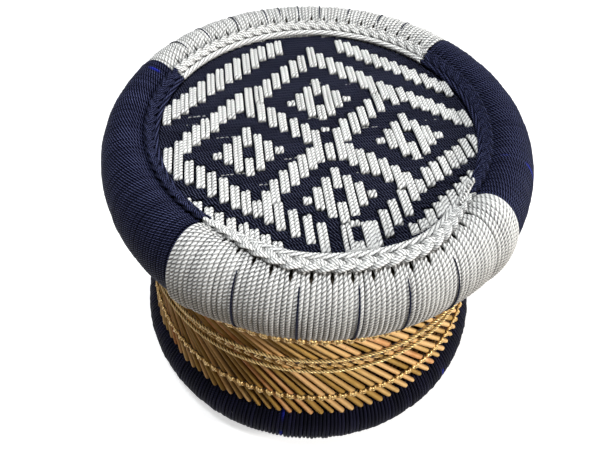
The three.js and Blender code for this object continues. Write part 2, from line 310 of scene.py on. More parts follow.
def rope(skin, middle, out, half, strands, lay, sides, tint=0.5, fat=1.0):
    """A rope whose strands twist round a middle path. out is the way off what it lies on."""
    ahead = unit(np.gradient(middle, axis=0))
    aside = unit(np.cross(ahead, out))
    up = np.cross(aside, ahead)
    along = lengths_of(middle)
    snug = math.sin(math.pi / strands)
    thick = half * snug / (1.0 + snug)
    reach = half - thick
    facing = np.sin(np.arange(sides) / sides * math.tau)
    # Painted shade on the side of each strand that faces into the rope
    valley_shade = np.clip(1.0 - ROPE_VALLEY_SHADE_STEEPNESS * facing, 0.0, 1.0)
    for strand in range(strands):
        turn = (strand / strands + along / lay) * math.tau
        path = middle + aside * (reach * np.cos(turn))[:, None] + up * (reach * np.sin(turn))[:, None]
        away = aside * np.cos(turn)[:, None] + up * np.sin(turn)[:, None]
        rings, length = round_tube(path, away, thick * fat, thick, sides)
        skin.add(rings, length, tint + chance.uniform(-ROPE_TINT_SPREAD, ROPE_TINT_SPREAD), valley_shade)


def outward(angle):
    angle = np.asarray(angle, float)
    return np.stack([np.cos(angle), np.sin(angle), np.zeros_like(angle)], -1)


def sideways_of(out):
    """The level way to the left of a way outward."""
    return np.stack([-out[..., 1], out[..., 0], np.zeros_like(out[..., 0])], -1)


def around(angle, radius, height):
    """Points at an angle round the stool, a distance from its axis and a height."""
    angle, radius, height = np.broadcast_arrays(
        np.asarray(angle, float), np.asarray(radius, float), np.asarray(height, float)
    )
    return np.stack([radius * np.cos(angle), radius * np.sin(angle), height], -1)


def way_out(angle, across, up):
    """A way off a ring's face, from its parts outward and upward."""
    out = outward(angle) * across[:, None]
    out[:, 2] = up
    return out


def on_section(ring, turn, depth):
    """Radius and height on a ring's oval section, below its face by a depth, and the way out of it."""
    across = np.cos(turn) / ring["wide"]
    up = np.sin(turn) / ring["tall"]
    length = np.hypot(across, up)
    across, up = across / length, up / length
    radius = ring["radius"] + ring["wide"] * np.cos(turn) - depth * across
    height = ring["height"] + ring["tall"] * np.sin(turn) - depth * up
    return radius, height, across, up


# The four coloured lengths of the rim, in degrees round the stool. The trims follow the same lengths, and
# those of the front climb to the crest over a share of their run at each end.
RIM_PARTS = [
    {"place": "front", "colour": "white", "from": -125.0, "to": -35.0, "turns": 76},
    {"place": "right", "colour": "navy", "from": -35.0, "to": 43.75, "turns": 84},
    {"place": "back", "colour": "white", "from": 43.75, "to": 156.25, "turns": 92},
    {"place": "left", "colour": "navy", "from": 156.25, "to": 235.0, "turns": 84},
]
FRONT = RIM_PARTS[0]
CLIMB_SHARE = 0.35


def climb_at(part, angle):
    """How far the trims of a part have climbed at each angle: only those of the front leave the slope."""
    if part is not FRONT:
        return np.zeros_like(angle)
    share = (np.degrees(angle) - part["from"]) / (part["to"] - part["from"])
    return smooth_step(0.0, CLIMB_SHARE, np.minimum(share, 1.0 - share))


# Cord windings of both rings: steps and sides of the mesh, the gap between two lengths of the rim, how far
# the cord stands out of its solid, its width beside its pitch, and its least height over the floor beside
# its half thickness
SECTION_STEPS = 44
CORD_SIDES = 7
PART_GAP = 0.2
WIND_PROUD = 0.1
TURN_WIDTH_SHARE = 1.03
FLOOR_SHARE = 1.05
# Half thickness and lay of the rim's cords, how far their turns gather, and how dark their edges are.
# The darkening of the edges between turns, and of the gathered turns, is painted shade.
RIM_CORDS = {
    "white": {"thickness": 2.0, "lay": WHITE_LAY, "gather_share": 0.2, "edge_shade_share": 0.45},
    "navy": {"thickness": 1.84, "lay": NAVY_LAY, "gather_share": 0.05, "edge_shade_share": 0.15},
}
# Painted shade on the edges of the turns of the other windings, and how narrow it is
PLAIN_EDGE_SHADE_SHARE = 0.6
EDGE_SHADE_SHARPNESS = 3
# Unevenness of the turns: its size, how many values a turn draws, and the shares of the first two, which
# go inward and aside. The third is spare.
JITTER = 0.25
JITTER_VALUES = 3
INWARD_SHARE = 0.6
ASIDE_SHARE = 0.5
# Turns that are crowded on the inner side of a ring ride up and down by turns: this, times how crowded
CROWDED_LIFT = 1.6
# Turns in a group that draws together under the edge cord, and how far from its foot that begins and ends.
# The foot lies at an angle of the section, and turns by the other angle as the cord climbs to the crest.
GROUP = 4
GATHER_DEGREES = (3.0, 11.0)
GATHER_SQUEEZE_SHARE = 0.2
FOOT_DEGREES = 121.0
FOOT_CLIMB_DEGREES = 46.0
# The windings draw in below, where the rim turns under
UNDER_TUCK = 1.4
TUCK_DEGREES = -48.0
TUCK_SHARPNESS = 3.0
# Each length of the rim is crowned between its marker threads, and the front is thick at its ends
GROUP_SWELL = 1.3
PLAIN_SWELL_SHARE = 0.4
PLAIN_GROUPS = 6
CROWN_ROUNDNESS = 0.6
CROWN_FOOT_SHARE = 0.6
END_SWELL = 3.4
END_SWELL_DEGREES = (2.0, 17.0)
SWELL_BEGIN_DEGREES = (-75.0, -20.0)
SWELL_END_DEGREES = (80.0, 150.0)
# A few more turns lie over both ends of the front
END_WRAP = 16.0
END_WRAP_TURNS = 4
END_WRAP_LIFT = 0.8
# The base
BASE_TURNS = 300
BASE_THICKNESS = 2.1
BASE_JITTER = 0.6
BASE_STEPS = 30


def tuck(section):
    """How far the windings draw in at each angle of the section."""
    below = np.clip(np.cos((section - math.radians(TUCK_DEGREES)) * TUCK_SHARPNESS), 0.0, 1.0)
    return UNDER_TUCK * below * (section < 0.0)


def swell_of(part):
    """How far the turns of a part stand out at each angle round the stool."""
    marks = MARK_DEGREES.get(part["place"])
    if marks:
        places = np.array([part["from"]] + marks + [part["to"]])
        size = GROUP_SWELL
    else:
        places = np.linspace(part["from"], part["to"], PLAIN_GROUPS + 1)
        size = GROUP_SWELL * PLAIN_SWELL_SHARE

    def swell(angle):
        degrees = np.degrees(angle)
        group = np.clip(np.searchsorted(places, degrees) - 1, 0, len(places) - 2)
        share = (degrees - places[group]) / (places[group + 1] - places[group])
        crown = np.clip(4.0 * share * (1.0 - share), 0.0, 1.0) ** CROWN_ROUNDNESS
        crown = size * (crown - CROWN_FOOT_SHARE)
        if part is FRONT:
            from_end = np.minimum(degrees - part["from"], part["to"] - degrees)
            crown = crown + END_SWELL * (1.0 - smooth_step(*END_SWELL_DEGREES, from_end))
        return crown

    return swell


def wound_lengths(ring, section, whole, done, steps, lay):
    """The length of cord up to each point. A turn is a number of strokes and a half long, so that the plies
    of neighbours stagger."""
    flat = np.hypot(ring["wide"] * np.sin(section), ring["tall"] * np.cos(section))[:steps]
    round_share = np.concatenate([[0.0], np.cumsum(flat / flat.sum())])
    stroke = lay / CORD_PLIES
    turn_length = (round(flat.sum() * math.tau / steps / stroke) + 0.5) * stroke
    step = np.rint(done * steps).astype(int)
    return (whole + round_share[step]) * turn_length


def wind(ring, start, end, turns, thickness, swell=None, edge_turn=None, gather=0.0, edge_shade=PLAIN_EDGE_SHADE_SHARE,
         lay=WHITE_LAY, jitter=JITTER, steps=SECTION_STEPS, sides=CORD_SIDES):
    """One long cord wound round a ring. swell lifts it, and its turns gather in groups at edge_turn. Its
    edges, and the gathered turns, get painted shade.
    """
    pitch = (end - start) / turns
    count = np.arange(turns * steps + 1) / steps
    whole = np.floor(count)
    index = whole.astype(int)
    done = count - whole
    section = -math.pi / 2 + done * math.tau
    angle = start + (count + 0.5) * pitch
    wobble = chance.normal(0.0, jitter, (JITTER_VALUES, turns + 2))
    inward, aside, _ = wobble[:, index] * (1.0 - done) + wobble[:, index + 1] * done
    depth = thickness - WIND_PROUD + inward * INWARD_SHARE
    if swell:
        outer_share = smooth_step(*np.radians(SWELL_BEGIN_DEGREES), section)
        outer_share = outer_share * (1.0 - smooth_step(*np.radians(SWELL_END_DEGREES), section))
        depth = depth - swell(angle) * outer_share + tuck(section)
    radius, height, across, up = on_section(ring, section, depth)
    crowd = 1.0 - radius / (ring["radius"] + ring["wide"])
    lift = crowd * CROWDED_LIFT * np.where(index % 2 == 0, 1.0, -1.0)
    height = np.maximum(height + lift * up, thickness * FLOOR_SHARE)
    radius = radius + lift * across
    near = np.zeros_like(angle)
    if edge_turn:
        near = 1.0 - smooth_step(*np.radians(GATHER_DEGREES), np.abs(section - edge_turn(angle)))
    group_middle = (np.floor(index / GROUP) + 0.5) * GROUP
    angle = angle + aside * ASIDE_SHARE / radius - gather * near * (index + 0.5 - group_middle) * pitch
    wide = radius * abs(pitch) / 2 * (TURN_WIDTH_SHARE - near * GATHER_SQUEEZE_SHARE)
    path = around(angle, radius, height)
    rings = round_tube(path, way_out(angle, across, up), wide, thickness, sides)[0]
    along = wound_lengths(ring, section, whole, done, steps, lay)
    tint = chance.uniform(0.0, 1.0, turns + 2)[index]
    # Painted shade: darker along each turn's edges, next to its neighbours, and where the turns gather
    edge = np.abs(np.cos(np.arange(sides) / sides * math.tau)) ** EDGE_SHADE_SHARPNESS
    painted_shade = np.clip(edge[None, None, :] * edge_shade + near[None, :, None] * gather, 0.0, 1.0)
    return rings, along[None], tint[None, :, None], painted_shade


def add_rim_part(part, looks):
    start, end = math.radians(part["from"]), math.radians(part["to"])
    gap = PART_GAP / RIM["radius"]
    cord = RIM_CORDS[part["colour"]]

    def edge_turn(angle):
        return math.radians(FOOT_DEGREES) - math.radians(FOOT_CLIMB_DEGREES) * climb_at(part, angle)

    def end_swell(angle):
        return np.full_like(angle, END_WRAP_LIFT)

    skin = Skin()
    skin.add(*wind(
        RIM, start + gap, end - gap, part["turns"], cord["thickness"], swell_of(part), edge_turn,
        cord["gather_share"], cord["edge_shade_share"], cord["lay"],
    ))
    if part is FRONT:
        run = END_WRAP / RIM["radius"]
        for near, far in ((start + gap, start + run), (end - run, end - gap)):
            skin.add(*wind(RIM, near, far, END_WRAP_TURNS, cord["thickness"], end_swell))
    name = f"rim_wrap_{part['colour']}_{part['place']}"
    skin.make(name + "_cord", looks[part["colour"]], [name])


# Thin navy threads over the white lengths of the rim: where they lie, in degrees round the stool, and where
# on the section they come up and go in
MARK_DEGREES = {
    "front": [-119.4, -108.2, -93.8, -80.9, -69.5, -56.8, -44.6],
    "back": [58.7, 68.0, 79.8, 90.2, 98.0, 105.0, 110.6, 122.4, 134.8, 145.4],
}
MARK_LOW_DEGREES = (-66, -56)
MARK_HIGH_DEGREES = {"front": (60, 72), "back": (104, 122)}
MARK_LEAN_DEGREES = 0.5
MARK_STEPS = 30
MARK_RADIUS = 1.05
MARK_FLAT_SHARE = 0.7
MARK_TINT = 0.2
# A thread lies in the valley between two crowns, and dives at its ends
MARK_PROUD = 1.1
MARK_LIFT = MARK_PROUD - CROWN_FOOT_SHARE * GROUP_SWELL
MARK_END_DEPTH = 1.3
MARK_RISE = 1.2
MARK_ROUNDNESS = 0.4
MARK_TIP_SHARE = 0.45
MARK_ROOT_SHARE = 0.75
MARK_TAPER = 0.7


def mark(skin, degrees, low, high, lean):
    """A thread that comes up between two turns and lies over the outer face of the rim."""
    share = np.linspace(0.0, 1.0, MARK_STEPS)
    section = np.radians(np.linspace(low, high, MARK_STEPS))
    risen = np.sin(np.linspace(0.0, math.pi, MARK_STEPS)) ** MARK_ROUNDNESS
    depth = MARK_END_DEPTH - MARK_RISE * risen - MARK_LIFT + tuck(section)
    place, height, across, up = on_section(RIM, section, depth)
    angle = np.radians(degrees + lean * np.linspace(-0.5, 0.5, MARK_STEPS))
    wide = MARK_RADIUS * (MARK_TIP_SHARE + MARK_ROOT_SHARE * (1.0 - share) ** MARK_TAPER)
    path = around(angle, place, height)
    rings, along = round_tube(path, way_out(angle, across, up), wide, wide * MARK_FLAT_SHARE, FINE_SIDES)
    skin.add(rings, along, MARK_TINT)


def add_rings(looks):
    marks = Skin()
    for part in RIM_PARTS:
        add_rim_part(part, looks)
        for degrees in MARK_DEGREES.get(part["place"], ()):
            low = chance.uniform(*MARK_LOW_DEGREES)
            high = chance.uniform(*MARK_HIGH_DEGREES[part["place"]])
            mark(marks, degrees, low, high, chance.uniform(-MARK_LEAN_DEGREES, MARK_LEAN_DEGREES))
    marks.make("rim_marker_threads", looks["navy"])
    base = Skin()
    base.add(*wind(
        BASE, 0.0, math.tau, BASE_TURNS, BASE_THICKNESS,
        lay=BASE_LAY, jitter=BASE_JITTER, steps=BASE_STEPS, sides=FINE_SIDES,
    ))
    base.make("base_wrap_cord", looks["black"], ["base_wrap"])


# The twisted edge cord and the flat braid between the rim and the seat. Each lies low on the rim's inner
# slope, at a radius and a height, or on its crest, and its middle stands off the rim.
UPHILL_SHARES = np.array([0.711, 0.703])
TRIM_GAP = 0.5
EDGE_RADIUS = 147.7
EDGE_HEIGHT = 295.3
EDGE_HALF = 3.1
CREST_HEIGHT = RIM["height"] + RIM["tall"] + EDGE_HALF
EDGE_CREST_INSET = 10.5
EDGE_OFF = 2.9
EDGE_LAY = 8.4
EDGE_STEP = 0.8
EDGE_SIDES = 8
EDGE_TINT = 0.6
BRAID_RADIUS = 152.9
BRAID_HEIGHT = 300.4
BRAID_OFF = 2.6
EDGE_PLACE = {
    "low": (EDGE_RADIUS, EDGE_HEIGHT),
    "crest": (RIM["radius"] - EDGE_CREST_INSET, CREST_HEIGHT),
    "off": EDGE_OFF,
}
BRAID_PLACE = {
    "low": (BRAID_RADIUS, BRAID_HEIGHT),
    "crest": (RIM["radius"], CREST_HEIGHT),
    "off": BRAID_OFF,
}
# The plait: length of a link, how far its strands swing and lift, and the cords of a strand
BRAID_STRANDS = 3
BRAID_LINK = 11.0
BRAID_SWING = {"front": 3.3, "back": 2.5, "left": 2.8, "right": 2.8}
BRAID_LIFT = 1.3
BRAID_CORD = 1.3
BRAID_CORDS = 2
BRAID_PITCH_SHARE = 1.85
BRAID_CROWN_HALF = 4.2
BRAID_CROWN = 0.7
BRAID_SUNK = 0.3
BRAID_STEP = 1.2
BRAID_SIDES = 8
# Painted shade on the plait's strands: none where a strand lies on top, most where it passes under
BRAID_SHADE_SHARE = 0.3
BRAID_UNDER_SHADE_SHARE = 0.8
# The front trims end loose: they run on over the next length of the rim and rise off it. The braid's end is
# a tail, which runs from before the end of the front to after it, in shares of the loose end.
LOOSE_END = 13.0
LOOSE_END_SHARE = 0.7
LOOSE_LIFT = 4.6
LOOSE_ASIDE_SHARE = 0.6
TAIL_SHARES = (1.6, 0.9)
TAIL_STEPS = 24
TAIL_LIFT = 3.4
TAIL_RISE = 2.4
TAIL_HALF = 2.4
TAIL_PLIES = 2
TAIL_LAY = 9.0
TAIL_TINT = 0.7
TAIL_FAT_SHARE = 1.12


def trim_middle(place, climb):
    """Where the middle of a trim lies, and which way is uphill, at a share of its climb to the crest."""
    low, crest = np.array(place["low"]), np.array(place["crest"])
    aim = low + (crest - low) * climb[:, None]
    middle = np.array([RIM["radius"], RIM["height"]])
    away = aim - middle
    sizes = np.array([RIM["wide"], RIM["tall"]]) + place["off"]
    scale = 1.0 / np.hypot(*(away / sizes).T)
    on_rim = middle + away * np.where(climb > 0, scale, np.maximum(scale, 1.0))[:, None]
    lean = UPHILL_SHARES + (np.array([1.0, 0.0]) - UPHILL_SHARES) * climb[:, None]
    return on_rim, unit(lean)


def trim_path(part, place, angle, uphill=0.0, off=0.0):
    """Points of a trim and the way off the rim there, moved up its slope and off it by some distances."""
    middle, lean = trim_middle(place, climb_at(part, angle))
    radius = middle[:, 0] + uphill * lean[:, 0] - off * lean[:, 1]
    height = middle[:, 1] + uphill * lean[:, 1] + off * lean[:, 0]
    return around(angle, radius, height), way_out(angle, -lean[:, 1], lean[:, 0])


def add_edge_cord(skin, part, start, end, loose):
    gap = TRIM_GAP / BRAID_RADIUS
    count = int((end + loose - start) * EDGE_RADIUS / EDGE_STEP)
    angle = np.linspace(start + gap, end - gap + loose, count)
    lifted = 0.0
    if loose:
        lifted = LOOSE_LIFT * smooth_step(end - loose, end + loose * LOOSE_END_SHARE, angle)
    middle, out = trim_path(part, EDGE_PLACE, angle, lifted * LOOSE_ASIDE_SHARE, lifted)
    rope(skin, middle, out, EDGE_HALF, CORD_PLIES, EDGE_LAY, EDGE_SIDES, EDGE_TINT)


def add_plait(skin, part, start, end):
    """A flat plait of three strands, each of two cords side by side."""
    gap = TRIM_GAP / BRAID_RADIUS
    start, end = start + gap, end - gap
    angle = np.linspace(start, end, int((end - start) * BRAID_RADIUS / BRAID_STEP))
    along = (angle - start) * BRAID_RADIUS
    period = BRAID_STRANDS * BRAID_LINK
    for strand in range(BRAID_STRANDS):
        phase = along / period * math.tau + strand / BRAID_STRANDS * math.tau
        swing = BRAID_SWING[part["place"]] * np.sin(phase)
        slope = BRAID_SWING[part["place"]] * math.tau / period * np.cos(phase)
        length = np.hypot(1.0, slope)
        lift = -BRAID_LIFT * np.sin(2 * phase)
        # Painted shade, deeper where the strand passes under the others
        sunk_shade = np.clip(BRAID_SHADE_SHARE - lift / BRAID_LIFT * BRAID_UNDER_SHADE_SHARE, 0.0, 1.0)
        for cord in range(BRAID_CORDS):
            off = (cord - (BRAID_CORDS - 1) / 2) * BRAID_CORD * BRAID_PITCH_SHARE
            crown = BRAID_CROWN * (1.0 - (off / BRAID_CROWN_HALF) ** 2)
            turn = angle - off * slope / length / BRAID_RADIUS
            path, out = trim_path(part, BRAID_PLACE, turn, swing + off / length, lift + crown - BRAID_SUNK)
            rings, lengths = round_tube(path, out, BRAID_CORD, BRAID_CORD, BRAID_SIDES)
            skin.add(rings, lengths, chance.uniform(*LIGHT_TINTS), sunk_shade[None, :, None])


def add_tail(skin, part, end, loose):
    """The loose end of the braid, twisted into one cord."""
    before, after = TAIL_SHARES
    angle = np.linspace(end - loose * before, end + loose * after, TAIL_STEPS)
    risen = smooth_step(end - loose, end + loose * LOOSE_END_SHARE, angle)
    middle, out = trim_path(part, BRAID_PLACE, angle, 0.0, TAIL_LIFT + TAIL_RISE * risen)
    rope(skin, middle, out, TAIL_HALF, TAIL_PLIES, TAIL_LAY, FINE_SIDES, TAIL_TINT, TAIL_FAT_SHARE)


def add_trims(looks):
    for part in RIM_PARTS:
        start, end = math.radians(part["from"]), math.radians(part["to"])
        loose = LOOSE_END / EDGE_RADIUS if part is FRONT else 0.0
        name = f"{part['colour']}_{part['place']}"
        look = looks[part["colour"] + "_fine"]
        edge = Skin()
        add_edge_cord(edge, part, start, end, loose)
        edge.make(f"edge_cord_{name}_twist", look, [f"edge_cord_{name}"])
        braid = Skin()
        add_plait(braid, part, start, end)
        if loose:
            add_tail(braid, part, end, loose)
        braid.make(f"rim_braid_{name}_plait", look, [f"rim_braid_{name}"])


# The woven seat. Columns of warp run away from the front, rows of weft run across them. The pattern is
# given in columns and rows from its middle.
WEAVE_MIDDLE = np.array([9.5, -23.8])
ACROSS_DEGREES = 10.9
ALONG_DEGREES = 98.5
LEAN_PER_COLUMN = 0.45
COLUMN_PITCH = 10.35
ROW_PITCH = 8.95
BORDER_ROWS = 2.9
# Middles of the four diamonds, and of the two crossings with a dark hole: column, row and, of a crossing,
# how far beside it its floats lie
DIAMONDS = [(-7.0, 0.0), (0.0, 7.0), (7.3, 0.0), (0.0, -6.95)]
CROSSINGS = [(0.0, 0.0, 0.97), (0.7, -12.6, 0.8)]
# Floats of a diamond and of a crossing about its middle: column, row and length in rows
DIAMOND_FLOATS = [
    (0.0, 2.25, 2.6), (0.0, -2.1, 2.3), (-0.9, -0.1, 4.9), (-1.75, -0.05, 2.7), (-2.65, -0.2, 0.7),
    (0.9, -0.1, 4.9), (1.75, -0.05, 2.7), (2.65, -0.2, 0.7),
]
CROSSING_FLOATS = [(0.0, -1.0, 2.2), (0.0, 2.2, 0.5), (-1.0, -0.1, 4.5), (1.0, -0.1, 4.5)]
# Single floats at the other crossings: column, row and length in rows
CORNER_FLOATS = [
    (-7.5, -6.6, 2.7), (-6.7, -7.5, 1.8), (-5.9, -7.4, 3.8),
    (5.97, -6.76, 3.6), (6.8, -6.83, 1.7), (-6.5, 7.6, 4.8), (0.2, 14.85, 3.7),
    (6.3, 7.7, 3.0), (7.05, 6.8, 3.2), (-12.9, -0.2, 5.3), (-13.8, -0.1, 3.4),
    (12.98, 1.87, 2.5), (-13.15, -5.0, 1.8),
]
# Lines of floats between the crossings: first and last column and row, count, and length in rows
BORDERS = [
    ((-5.5, 5.8), (-1.8, 1.9), 5, BORDER_ROWS), ((-7.45, 7.7), (-12.2, 2.1), 7, BORDER_ROWS),
    ((-12.0, -2.0), (-8.4, -5.7), 5, BORDER_ROWS), ((-5.15, -5.6), (-1.7, -1.8), 5, BORDER_ROWS),
    ((5.5, 5.8), (1.8, 1.9), 5, BORDER_ROWS), ((8.0, 6.7), (12.1, 2.6), 6, 2.5),
    ((12.85, -1.75), (7.7, -5.9), 7, 2.5), ((5.15, -5.3), (1.7, -1.8), 5, BORDER_ROWS),
    ((-5.6, 8.7), (-0.9, 13.94), 6, BORDER_ROWS), ((5.45, 8.9), (1.1, 13.94), 6, BORDER_ROWS),
    ((-5.0, -8.7), (-1.9, -11.6), 4, 3.1), ((5.09, -8.76), (2.09, -11.9), 4, BORDER_ROWS),
    ((11.5, -6.5), (5.2, -12.2), 9, 1.7), ((12.48, 7.04), (3.3, 16.7), 12, 2.5),
    ((-13.95, 6.6), (-10.9, 10.1), 5, 3.1), ((-10.0, 11.2), (-5.6, 15.4), 6, 3.6),
    ((-4.7, 16.3), (-3.0, 17.3), 3, 2.6), ((-12.2, -6.4), (-5.4, -12.4), 9, 2.2),
]
# Dotted lines where the warp shows between two rows: first column, row and count of dots
GLIMPSES = [
    (-12.0, 6.0, 4), (-12.2, 4.8, 3), (-9.6, 2.4, 4), (-9.3, -2.9, 5), (-6.2, -4.6, 5), (-3.9, -1.5, 3),
    (-0.4, 9.9, 3), (2.9, 9.2, 2), (3.4, 1.9, 4), (9.3, 2.2, 3), (-1.2, 4.1, 3), (1.9, -4.3, 3),
    (6.9, -3.2, 3),
]
# Unevenness of the lines of floats, in columns and rows
COLUMN_UNEVEN = 0.03
ROW_UNEVEN = 0.08
LENGTH_UNEVEN = 0.12
# The weave stays under the edge cord, follows it up the slope, and has no line shorter than the shortest
EDGE_COVER = 1.5
SHORTEST_LINE = 2.0
SLOPE_FOOT_SHARE = -0.93
LEAST_STEPS = 6


def way_at(degrees):
    """A level way, in degrees from the X axis."""
    angle = math.radians(degrees)
    return np.array([math.cos(angle), math.sin(angle)])


ACROSS = way_at(ACROSS_DEGREES)
ALONG = way_at(ALONG_DEGREES)


def way_of_column(column):
    """The floats lean more and more to the right of the middle."""
    return way_at(ALONG_DEGREES + LEAN_PER_COLUMN * max(column, 0.0))


def seat_place(column, row):
    return WEAVE_MIDDLE + column * COLUMN_PITCH * ACROSS + row * ROW_PITCH * ALONG


def floats_of_pattern():
    """Column, lowest row and highest row of each white float."""
    floats = []

    def add(column, row, length):
        floats.append((column, row - length / 2, row + length / 2))

    for column, row in DIAMONDS:
        for aside, ahead, length in DIAMOND_FLOATS:
            add(column + aside, row + ahead, length)
    for column, row, beside in CROSSINGS:
        for aside, ahead, length in CROSSING_FLOATS:
            add(column + aside * beside, row + ahead, length)
    for column, row, length in CORNER_FLOATS:
        add(column, row, length)
    for first, last, count, length in BORDERS:
        for step in range(count):
            share = step / (count - 1)
            column = first[0] * (1.0 - share) + last[0] * share + chance.normal(0.0, COLUMN_UNEVEN)
            row = first[1] * (1.0 - share) + last[1] * share + chance.normal(0.0, ROW_UNEVEN)
            add(column, row, length + chance.normal(0.0, LENGTH_UNEVEN))
    return floats


def seat_reach(place):
    """How far from the axis the weave goes: it follows the trims up the slope of the rim."""
    climb = climb_at(FRONT, math.atan2(place[1], place[0]))
    climbed = SEAT_EDGE + (EDGE_PLACE["crest"][0] - SEAT_EDGE - EDGE_COVER) * climb
    return max(EDGE_RADIUS - EDGE_HALF, climbed)


def up_the_slope(flat, height, above):
    """The height of the weave where it leaves the level seat and lies on the rim's inner slope."""
    across = (np.hypot(flat[:, 0], flat[:, 1]) - RIM["radius"]) / (RIM["wide"] + above)
    slope = RIM["height"] + (RIM["tall"] + above) * np.sqrt(np.maximum(1.0 - across * across, 0.0))
    return np.where(across > SLOPE_FOOT_SHARE, np.maximum(height, slope), height)


def clip_to_seat(place, way, low, high, reach):
    """The part of a line across the seat that lies within a distance of its axis."""
    nearest = place @ way
    off = place @ place - nearest * nearest
    if off >= reach * reach:
        return None
    half = math.sqrt(reach * reach - off)
    low, high = max(low, -nearest - half), min(high, -nearest + half)
    return (low, high) if high - low > SHORTEST_LINE else None


def way_points(way, start, end, share):
    return ((1.0 - share) * start + share * end)[:, None] * way[None]


# White floats, each two cords of the warp side by side: their sizes, how deep their ends go, how they rise,
# and how dark painted shade makes their ends as they sink into the weave
WARP_RADIUS = 1.95
WARP_FLAT_SHARE = 0.98
WARP_PAIR_SHARE = 0.97
WARP_LOBE_SHARE = 0.06
WARP_SIDES = 9
WARP_LEAST_STEPS = 7
WARP_STEP = 1.5
WARP_DEPTH = 3.1
WARP_RISE = 2.6
WARP_RISE_RUN = 3.2
WARP_ABOVE_SLOPE = 2.0
WARP_SHADE_SHARE = 0.8
WARP_END_UNEVEN = 0.4
WARP_BOW_UNEVEN = 0.25
WARP_HEIGHT_UNEVEN = 0.12
WARP_LAY_SHIFT = 8.0
# Dots of warp between two rows: columns from one to the next, sizes and unevenness
DOT_PITCH = 0.42
DOT_COLUMN_UNEVEN = 0.05
DOT_ROW_UNEVEN = 0.02
DOT_STEPS = 6
DOT_HALF_LENGTHS = (0.8, 1.5)
DOT_DEPTH = 1.3
DOT_RISE = 0.5
DOT_WIDE = 0.55
DOT_THICK = 0.5
DOT_TINTS = (0.5, 1.0)


def add_float(skin, place, way, half):
    """One cord of a white float, which comes up out of the weave and goes down into it again."""
    span = clip_to_seat(place, way, -half, half, seat_reach(place))
    if span is None:
        return
    start, end = span
    start += chance.normal(0.0, WARP_END_UNEVEN)
    end += chance.normal(0.0, WARP_END_UNEVEN)
    length = end - start
    share = np.linspace(0.0, 1.0, max(WARP_LEAST_STEPS, int(length / WARP_STEP)))
    rise = np.minimum(1.0, np.minimum(share, 1.0 - share) * length / WARP_RISE_RUN)
    rise = np.sqrt(1.0 - (1.0 - rise) ** 2)
    bow = chance.normal(0.0, WARP_BOW_UNEVEN) * np.sin(share * math.pi)
    flat = place[None] + way_points(way, start, end, share) + bow[:, None] * ACROSS
    height = SEAT_TOP - WARP_DEPTH + rise * WARP_RISE + chance.normal(0.0, WARP_HEIGHT_UNEVEN)
    path = np.column_stack([flat, up_the_slope(flat, height, WARP_ABOVE_SLOPE)])
    rings, along = round_tube(
        path, UP, WARP_RADIUS, WARP_RADIUS * WARP_FLAT_SHARE, WARP_SIDES,
        CORD_PLIES, -WHITE_LAY, WARP_LOBE_SHARE,
    )
    along = along + chance.uniform(0.0, WARP_LAY_SHIFT)
    # Painted shade: the float darkens towards its ends, where it sinks into the weave
    skin.add(rings, along, chance.uniform(*LIGHT_TINTS), (1.0 - rise)[None, :, None] * WARP_SHADE_SHARE)


def add_dot(skin, column, row):
    column = column + chance.normal(0.0, DOT_COLUMN_UNEVEN)
    place = seat_place(column, row + chance.normal(0.0, DOT_ROW_UNEVEN))
    share = np.linspace(-1.0, 1.0, DOT_STEPS)
    flat = place[None] + share[:, None] * ACROSS * chance.uniform(*DOT_HALF_LENGTHS)
    path = np.column_stack([flat, SEAT_TOP - DOT_DEPTH + DOT_RISE * np.cos(share * math.pi / 2)])
    rings, along = round_tube(path, UP, DOT_WIDE, DOT_THICK, FINE_SIDES)
    skin.add(rings, along, chance.uniform(*DOT_TINTS))


def add_floats(looks, floats):
    skin = Skin()
    for column, low, high in floats:
        for side in (-1, 1):
            place = seat_place(column, (low + high) / 2) + side * WARP_RADIUS * WARP_PAIR_SHARE * ACROSS
            add_float(skin, place, way_of_column(column), (high - low) / 2 * ROW_PITCH)
    for column, row, count in GLIMPSES:
        for dot in range(count):
            add_dot(skin, column + DOT_PITCH * dot, row)
    skin.make("seat_white_floats", looks["white"])


# Navy weft: first and last row, sizes, and how it dips where a float lies over it, in rows and columns.
# The dip is also painted darker, as shade
WEFT_FIRST = -42
WEFT_LAST = 46
WEFT_PITCH = 3.94
WEFT_RADIUS = 2.15
WEFT_THICK = 1.5
WEFT_SIDES = 8
WEFT_STEP = 2.2
WEFT_DEPTH = 0.4
WEFT_ABOVE_SLOPE = 0.8
WEFT_PAST_REACH = 0.8
WEFT_TRIALS = 400
WEFT_LEAST_TRIALS = 8
WEFT_DIP = 2.3
WEFT_COVER_ROWS = 0.15
WEFT_DIP_COLUMNS = (0.4, 0.55)
WEFT_WAVE = 0.22
WEFT_WAVE_LENGTH = 9.2
WEFT_LAY_UNEVEN = 0.2
WEFT_LAY_SHIFT = NAVY_LAY / 6


def weft_span(place):
    """Where a row of weft begins and ends under the edge cord."""
    farthest = EDGE_PLACE["crest"][0]
    span = clip_to_seat(place, ACROSS, -farthest, farthest, farthest)
    if span is None:
        return None
    inside = []
    for trial in np.linspace(*span, WEFT_TRIALS):
        point = place + trial * ACROSS
        if np.hypot(*point) < seat_reach(point) + WEFT_PAST_REACH:
            inside.append(trial)
    return (inside[0], inside[-1]) if len(inside) >= WEFT_LEAST_TRIALS else None


